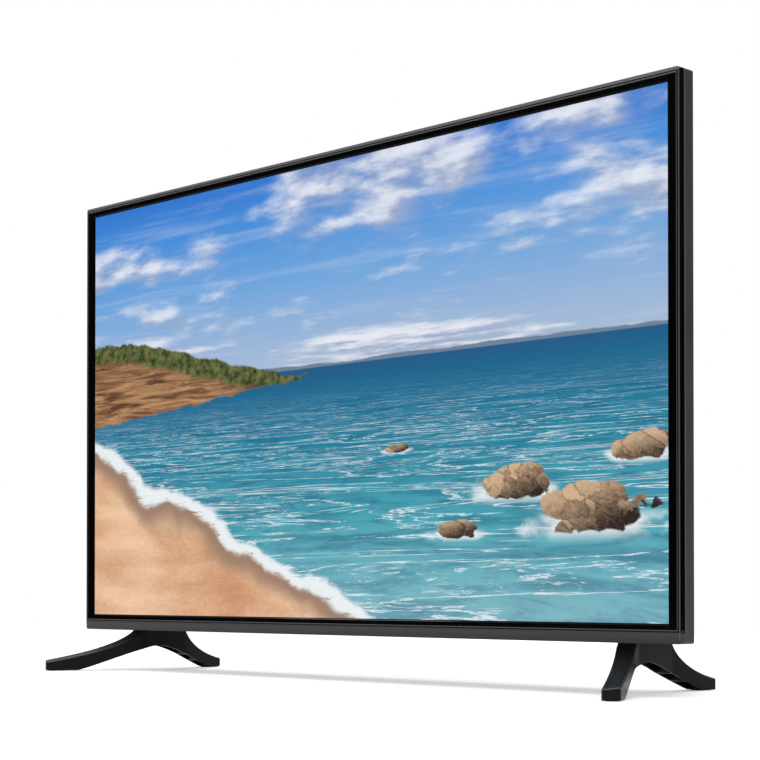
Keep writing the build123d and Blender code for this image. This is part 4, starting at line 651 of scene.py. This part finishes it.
# %% [markdown]
# ## The lit panel
# The panel's front is a polariser with a soft anti-glare coat over a black mask. Inside
# the picture's own area it gives out light, and the black mask shows as a thin dark line
# round it. Each picture element has three upright stripes, far too small to see from
# across the room, which only ripple the light a little.
# %% Panel: where the picture lies
panel, tree, surface, where = new_material("panel_glass")
glass_margin = Vector((5 * mm, 0, 5 * mm))
element_width = 0.511 * mm
front_skin = 0.3 * mm
low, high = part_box("lcd_panel")
picture_low, picture_high = Vector(low) + glass_margin, Vector(high) - glass_margin
split = split_place(tree, where)
share_across = spread(tree, split["X"], picture_low.x, picture_high.x, smooth=False)
share_up = spread(tree, split["Z"], picture_low.z, picture_high.z, smooth=False)
in_width = calc(tree, "LESS_THAN", calc(tree, "ABSOLUTE", split["X"]), picture_high.x)
over_low = calc(tree, "GREATER_THAN", split["Z"], picture_low.z)
under_high = calc(tree, "LESS_THAN", split["Z"], picture_high.z)
inside = calc(tree, "MULTIPLY", in_width, calc(tree, "MULTIPLY", over_low, under_high))
front_only = calc(tree, "LESS_THAN", split["Y"], low[1] + front_skin)
print("picture size:", [round(v, 4) for v in picture_high - picture_low])

# %% [markdown]
# The picture is the colour of the light, black outside the picture's area and behind the
# glass, and the strength stays 1. The coat is a very fine, very shallow relief.
# %% Panel: light and coat
shown = group_node(tree, scenery, {"Across": share_across, "Up": share_up})["Color"]
stripes = calc(tree, "SINE", calc(tree, "MULTIPLY", split["X"], 2 * pi / element_width))
ripple = calc(tree, "MULTIPLY_ADD", stripes, 0.03, 0.97)
power = calc(tree, "MULTIPLY", calc(tree, "MULTIPLY", inside, front_only), ripple)
glow = blend(tree, power, grey(0.0), shown)
coat = noise(tree, where, 5200.0, 2.0, 0.6)
coat_inputs = {"Strength": 0.1, "Distance": 0.01 * mm, "Height": coat}
normal = put(tree, "ShaderNodeBump", coat_inputs).outputs[0]
mask_tone = blend(tree, coat, grey(0.002), grey(0.004))
feed(
    tree, surface, base_color=mask_tone, roughness=0.32, normal=normal, emission_color=glow,
    emission_strength=1.0, specular_ior_level=0.15,
)
dress(panel, "lcd_panel")

# %% [markdown]
# ## Rear cover, keys and feet
# The rear cover is one large grained moulding in dark grey with a painted highlight along
# its front edge. The keys are of the same plastic with a finer grain. The feet are black
# with a smoother satin skin and painted highlights on their crests, which draw their
# outline. Their pads are matte rubber.
# %% Cover, keys and feet
rim_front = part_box("rear_cover")[0][1]
cover = moulded(
    "cover_plastic", (0.033, 0.0325, 0.036), 0.44, 1500.0, 0.06 * mm, 0.5 * mm,
    dusty=0.05, gloss=0.4, edge_highlight_front=rim_front,
)
dress(cover, "rear_cover")
key_nodes = [name for name in nodes if name.endswith("_key")]
keys = moulded("key_plastic", (0.060, 0.060, 0.063), 0.42, 2600.0, 0.03 * mm, 0.4 * mm)
dress(keys, *key_nodes)
feet = moulded(
    "foot_plastic", (0.0045, 0.0045, 0.0049), 0.26, 1900.0, 0.02 * mm, 0.9 * mm,
    dusty=0.01, gloss=0.14, crest_highlight_tone=0.075,
)
dress(feet, "right_foot", "left_foot")
rubber = moulded(
    "pad_rubber", (0.030, 0.030, 0.030), 0.82, 900.0, 0.12 * mm, 0.4 * mm, dusty=0.2
)
dress(rubber, "foot_pads")

# %% [markdown]
# ## Metal pieces
# Pressed steel is galvanised: grey with faint drawn lines. Screws are blackened. Heat
# sinks are bare extruded aluminium with lines along the fins. Socket shells are nickel
# plated, and the wall mount pillars are turned brass. Each row has a tone, a roughness,
# the stretch and the scale of the lines, and the pieces.
# %% Metals
metal_pieces = (
    ("pressed_steel", (0.56, 0.57, 0.58), 0.38, (1.0, 8.0, 8.0), 160.0,
     ("backlight_tray", "cover_standoffs", "board_standoffs", "foot_brackets")),
    ("screw_steel", (0.085, 0.085, 0.09), 0.40, (3.0, 3.0, 3.0), 700.0,
     ("cover_screws", "tray_screws", "board_screws", "foot_screws", "key_board_screws")),
    ("sink_aluminium", (0.66, 0.67, 0.69), 0.34, (60.0, 60.0, 1.0), 60.0,
     ("heat_sink", "power_heat_sinks")),
    ("strip_board", (0.74, 0.75, 0.77), 0.42, (1.0, 30.0, 30.0), 60.0, ("led_strips",)),
    ("tin_plate", (0.62, 0.62, 0.62), 0.30, (1.0, 1.0, 30.0), 90.0, ("tuner_can",)),
    ("nickel_metal", (0.72, 0.70, 0.67), 0.22, (20.0, 1.0, 20.0), 160.0,
     ("hdmi_sockets", "usb_sockets", "antenna_socket")),
    ("brass_insert", (0.66, 0.50, 0.26), 0.28, (60.0, 1.0, 60.0), 60.0, ("wall_mount_pillars",)),
    ("driver_metal", (0.30, 0.30, 0.31), 0.40, (8.0, 8.0, 8.0), 160.0, ("speaker_drivers",)),
)
for name, tone, shine, stretch, scale, names in metal_pieces:
    dress(metal(name, tone, shine, stretch, scale), *names)

# %% [markdown]
# ## Plastics and films inside
# These show only through the vents and the terminal openings, but each still has the
# surface of the real piece: matte frame, white sheets, clear lenses, amber films, soft
# sheaths on the leads.
# %% Plastics inside
plastic_pieces = (
    ("frame_plastic", (0.05, 0.05, 0.05), 0.55, ("middle_frame",)),
    ("optical_film", (0.80, 0.81, 0.83), 0.28, ("prism_sheet", "diffuser_sheet")),
    ("diffuser_plastic", (0.86, 0.86, 0.86), 0.55, ("diffuser_plate",)),
    ("white_plastic", (0.90, 0.90, 0.90), 0.50, ("reflector_sheet",)),
    ("lens_plastic", (0.80, 0.83, 0.85), 0.12, ("led_lenses",)),
    ("chip_plastic", (0.028, 0.028, 0.028), 0.60, ("main_processor",)),
    ("part_plastic", (0.080, 0.080, 0.088), 0.35,
     ("main_board_parts", "power_board_parts", "key_switches")),
    ("socket_plastic", (0.025, 0.025, 0.025), 0.40, ("headphone_jack", "mains_inlet")),
    ("speaker_plastic", (0.036, 0.036, 0.036), 0.52, ("left_speaker_box", "right_speaker_box")),
    ("window_plastic", (0.030, 0.004, 0.007), 0.12, ("ir_window",)),
    ("flex_film", (0.42, 0.24, 0.07), 0.25, ("panel_films", "panel_cable")),
    ("lead_sheath", (0.16, 0.16, 0.17), 0.48, ("speaker_leads", "power_lead", "control_leads")),
    ("transformer_core", (0.32, 0.25, 0.05), 0.42, ("transformer",)),
)
for name, tone, shine, names in plastic_pieces:
    dress(moulded(name, tone, shine, 1800.0, 0.03 * mm, 0.2 * mm), *names)

# %% [markdown]
# ## Circuit boards
# A board is green solder resist over copper: straight tracks show as slightly raised,
# lighter lines in blocks, with bright tinned pads dotted among them. A brick pattern on
# two scales gives the blocks of tracks and a cell pattern gives the pads.
# %% Circuit boards
board, tree, surface, where = new_material("circuit_board")
split = split_place(tree, where)
flat_place = put(tree, "ShaderNodeCombineXYZ", {0: split["X"], 1: split["Z"]}).outputs[0]


def track_pattern(tree, scale, line_width, second_tone):
    inputs = {"Vector": flat_place, "Scale": scale, "Mortar Size": line_width}
    inputs.update({"Color1": grey(0.0), "Color2": grey(second_tone), "Mortar": grey(1.0)})
    return put(tree, "ShaderNodeTexBrick", inputs).outputs[0]


blocks = spread(tree, noise(tree, flat_place, 60.0, 1.0, 0.3), 0.48, 0.52)
track_mask = blend(
    tree, blocks, track_pattern(tree, 90.0, 0.06, 0.2), track_pattern(tree, 420.0, 0.09, 0.3)
)
pads = put(tree, "ShaderNodeTexVoronoi", {"Vector": flat_place, "Scale": 260.0}, feature="F1")
pad_mask = spread(tree, pads.outputs["Distance"], 0.20, 0.15)
resist = blend(tree, track_mask, (0.010, 0.075, 0.030, 1.0), (0.030, 0.170, 0.070, 1.0))
colour = blend(tree, pad_mask, resist, (0.62, 0.61, 0.58, 1.0))
height = calc(tree, "MULTIPLY_ADD", pad_mask, 0.8, track_mask)
normal = relief(tree, height, 0.4, 0.05 * mm, 0.2 * mm)
tinned = calc(tree, "MULTIPLY", pad_mask, 0.9)
feed(tree, surface, base_color=colour, roughness=0.34, metallic=tinned, normal=normal)
dress(board, "main_board", "power_board", "panel_board", "ir_board", "key_board")

# %% [markdown]
# ## Coloured terminals
# The three jacks are told apart by the colour of the ring round each: yellow for the
# picture, white and red for the sound, in front of a black block with nickel barrels.
# The colour follows the place across the set, and the barrels start below the rings.
# %% Audio and video jacks
barrel_tone = (0.72, 0.70, 0.66, 1.0)
ring_reach, barrel_reach = 13 * mm, 9 * mm
low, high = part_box("av_jacks")
jacks, tree, surface, where = new_material("jack_plastic")
split = split_place(tree, where)
share = spread(tree, split["X"], low[0], high[0], smooth=False)
yellow, white, red = (0.80, 0.52, 0.02, 1.0), (0.80, 0.80, 0.78, 1.0), (0.62, 0.02, 0.02, 1.0)
ring_tones = put(tree, "ShaderNodeValToRGB", {0: share})
stops = ring_tones.color_ramp.elements
ring_tones.color_ramp.interpolation = "CONSTANT"
stops[0].color = yellow
stops[1].color = red
stops[1].position = 0.667
stops.new(0.333).color = white
in_block = calc(tree, "GREATER_THAN", split["Z"], high[2] - ring_reach)
in_barrel = calc(tree, "LESS_THAN", split["Z"], low[2] + barrel_reach)
wear = noise(tree, where, 300.0, 5.0, 0.6)
colour = blend(tree, calc(tree, "MULTIPLY", wear, 0.2), ring_tones.outputs[0], grey(0.2))
colour = blend(tree, in_block, colour, grey(0.02))
colour = blend(tree, in_barrel, colour, barrel_tone)
rough = spread(tree, wear, 0.3, 0.7, 0.26, 0.38)
normal = relief(tree, wear, 0.1, 0.02 * mm, 0.2 * mm)
feed(tree, surface, base_color=colour, roughness=rough, metallic=in_barrel, normal=normal)
dress(jacks, "av_jacks")

# %% [markdown]
# The computer socket is a blue insert in a plated shell. The shell is the lower part of
# the piece, so one height parts the two.
# %% Computer socket
shell_reach = 5.1 * mm
plate_tone = (0.70, 0.69, 0.66, 1.0)
low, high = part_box("vga_socket")
vga, tree, surface, where = new_material("vga_plastic")
in_shell = calc(tree, "LESS_THAN", split_place(tree, where)["Z"], low[2] + shell_reach)
wear = noise(tree, where, 420.0, 5.0, 0.6)
insert = blend(tree, wear, (0.015, 0.05, 0.26, 1.0), (0.03, 0.09, 0.36, 1.0))
colour = blend(tree, in_shell, insert, plate_tone)
rough = spread(tree, wear, 0.3, 0.7, 0.26, 0.4)
normal = relief(tree, wear, 0.1, 0.02 * mm, 0.2 * mm)
feed(tree, surface, base_color=colour, roughness=rough, metallic=in_shell, normal=normal)
dress(vga, "vga_socket")

# %% [markdown]
# ## Cross recesses in the screws
# The heads of the cover screws show in their wells at the back, and those of the foot
# screws under the feet. All the screws of a kind are one mesh, so the loose parts of that
# mesh are found first: from each vertex the search walks along the edges until it has
# seen the whole head and shank.
# %% Loose parts of a mesh
weld_distance = 0.001 * mm


def islands(piece):
    mesh = bmesh.new()
    mesh.from_mesh(piece.data)
    bmesh.ops.remove_doubles(mesh, verts=mesh.verts, dist=weld_distance)
    left = set(mesh.verts)
    found = []
    while left:
        queue = [left.pop()]
        group = []
        while queue:
            vertex = queue.pop()
            group.append(vertex.co.copy())
            for edge in vertex.link_edges:
                other = edge.other_vert(vertex)
                if other in left:
                    left.remove(other)
                    queue.append(other)
        found.append(group)
    mesh.free()
    return found


screws = {name: islands(nodes[name]) for name in ("cover_screws", "foot_screws")}
print("screws found:", {name: len(groups) for name, groups in screws.items()})

# %% [markdown]
# Each head gets a cross recess drawn as painted shade: two thin dark bars laid crosswise in
# its face, so little above it that the head keeps its shape.
# %% Cross bars
recess_turn = 0.4
recess_width, recess_depth = 0.7 * mm, 0.05 * mm
in_face = 0.03 * mm


def cross_recess(name, places, faces_back, arm):
    mesh = bmesh.new()
    tip = Matrix.Rotation(pi / 2, 4, "X") if faces_back else Matrix.Identity(4)
    for centre in places:
        for turn in (0.0, pi / 2):
            bar = bmesh.ops.create_cube(mesh, size=1.0)["verts"]
            bmesh.ops.scale(mesh, vec=(arm * 2, recess_width, recess_depth * 2), verts=bar)
            laid = Matrix.Translation(centre) @ tip @ Matrix.Rotation(turn + recess_turn, 4, "Z")
            bmesh.ops.transform(mesh, matrix=laid, verts=bar)
    data = bpy.data.meshes.new(name)
    mesh.to_mesh(data)
    mesh.free()
    piece = bpy.data.objects.new(name, data)
    bpy.context.scene.collection.objects.link(piece)
    return piece


print("cross bars ready")

# %% [markdown]
# The cover screws face backwards and the foot screws face down, so the face of a head is
# where its vertices reach farthest that way. Both sets of recesses ride on the body of
# the set.
# %% Screw recesses
# The bars are painted shade, near black where the hollow of the cross lies in shade.
recess, tree, surface, where = new_material("recess_painted_shade")
burr = noise(tree, where, 3000.0, 3.0, 0.6)
colour = blend(tree, burr, grey(0.006), grey(0.020, 0.001))
rough = spread(tree, burr, 0.3, 0.7, 0.4, 0.6)
feed(tree, surface, base_color=colour, roughness=rough, metallic=0.6)

cover_places, foot_places = [], []
for group in screws["cover_screws"]:
    middle = sum(group, Vector()) / len(group)
    cover_places.append(Vector((middle.x, max(v.y for v in group) - in_face, middle.z)))
for group in screws["foot_screws"]:
    middle = sum(group, Vector()) / len(group)
    foot_places.append(Vector((middle.x, middle.y, min(v.z for v in group) + in_face)))

root_name = next(name for name in frame["bodies"] if "key" not in name)
for name, places, faces_back, arm in (
    ("cover_screw_recesses", cover_places, True, 1.9 * mm),
    ("foot_screw_recesses", foot_places, False, 2.2 * mm),
):
    piece = cross_recess(name, places, faces_back, arm)
    piece.data.materials.append(recess)
    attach(piece, root_name)
    print(name, len(places))

# %% [markdown]
# ## Studio
# The set stands on a plain pale floor that keeps its shadow. The paper fades out well
# behind the set, so that no edge of it shows against the white. It gives the camera a
# little light of its own, so that it is as white as the backdrop where nothing shades
# it, and no more light falls on the object for that.
# %% Floor
floor_half = 2.4
fade_from, fade_to = 1.1, 2.2
floor_glow = 0.30
floor_mesh = bmesh.new()
bmesh.ops.create_grid(floor_mesh, x_segments=1, y_segments=1, size=floor_half)
floor_data = bpy.data.meshes.new("floor")
floor_mesh.to_mesh(floor_data)
floor_mesh.free()
floor = bpy.data.objects.new("floor", floor_data)
bpy.context.scene.collection.objects.link(floor)
floor_material, tree, surface, where = new_material("floor_paper")
tone = blend(tree, noise(tree, where, 60.0, 5.0, 0.6), grey(0.90), grey(0.92))
distance = put(tree, "ShaderNodeVectorMath", {0: where}, operation="LENGTH").outputs["Value"]
solid = spread(tree, distance, fade_to, fade_from)
to_camera = put(tree, "ShaderNodeLightPath").outputs["Is Camera Ray"]
feed(
    tree, surface, base_color=tone, roughness=1.0, specular_ior_level=0.0, alpha=solid,
    emission_color=tone, emission_strength=calc(tree, "MULTIPLY", to_camera, floor_glow),
)
floor.data.materials.append(floor_material)
print("floor ready")

# %% [markdown]
# Three soft boxes light the set. One hangs overhead and lights the tops of the frame and
# the feet, one stands in front on the left, and a long one on the left gives the crests
# of the feet their edge. Each row has the place, the two sides and the power.
# %% Lamps
aim_point = Vector((0.0, 0.0, 0.2))
soft_boxes = (
    ("overhead", (0.1, -0.2, 2.6), 0.9, 0.9, 14.0),
    ("front_left", (-1.6, -2.4, 1.9), 0.9, 0.9, 9.0),
    ("left_strip", (-2.0, 0.3, 2.1), 1.4, 0.4, 10.0),
)
for name, position, long_side, short_side, power in soft_boxes:
    data = bpy.data.lights.new(name, "AREA")
    data.shape = "RECTANGLE"
    data.size = long_side
    data.size_y = short_side
    data.energy = power
    lamp = bpy.data.objects.new(name, data)
    bpy.context.scene.collection.objects.link(lamp)
    lamp.location = position
    lamp.rotation_euler = (aim_point - Vector(position)).to_track_quat("-Z", "Y").to_euler()
print("lamps:", len(soft_boxes))

# %% [markdown]
# What the camera sees behind the floor is white. Shiny surfaces see a dark room with a
# bright ceiling, as they do between the black flags that a photographer puts round a
# gloss black frame. Matte surfaces see an even light, a little stronger from above.
# %% Backdrop
world = bpy.data.worlds.new("studio")
bpy.context.scene.world = world
world.use_nodes = True
tree = world.node_tree
tree.nodes.clear()
ray = put(tree, "ShaderNodeLightPath").outputs
direction = put(tree, "ShaderNodeTexCoord").outputs["Generated"]
rise = split_place(tree, direction)["Z"]
ceiling = spread(tree, rise, 0.12, 0.75, 0.03, 1.0)
even = calc(tree, "MULTIPLY_ADD", spread(tree, rise, -0.2, 0.9), 0.25, 0.80)
not_shiny = calc(tree, "SUBTRACT", 1.0, ray["Is Glossy Ray"])
shiny = calc(tree, "MULTIPLY", ceiling, ray["Is Glossy Ray"])
matte = calc(tree, "MULTIPLY", even, not_shiny)
level = calc(tree, "MAXIMUM", calc(tree, "ADD", shiny, matte), ray["Is Camera Ray"])
backdrop = put(tree, "ShaderNodeBackground", {"Color": grey(1.0), "Strength": level})
put(tree, "ShaderNodeOutputWorld", {"Surface": backdrop.outputs[0]})
print("backdrop ready")

# %% [markdown]
# ## Camera
# The camera stands in front and to the right of the set, a little above its feet and
# about a metre and a half away, and looks across it to the left. The lens is raised in
# its mount, as a view camera's is, so that the upright edges stay upright.
# %% Camera
camera_data = bpy.data.cameras.new("camera")
camera_data.sensor_width = 36.0
camera_data.lens = 88.145
camera_data.shift_y = 0.24
camera_data.clip_start = 0.01
camera_data.clip_end = 200.0
camera = bpy.data.objects.new("camera", camera_data)
bpy.context.scene.collection.objects.link(camera)
camera.location = (1.15967, -1.12039, 0.07974)
camera.rotation_euler = (radians(90 + 0.785), 0.0, radians(45.36))
bpy.context.scene.camera = camera
bpy.context.scene.view_settings.view_transform = "Standard"
print("camera distance:", round(camera.location.length, 3))
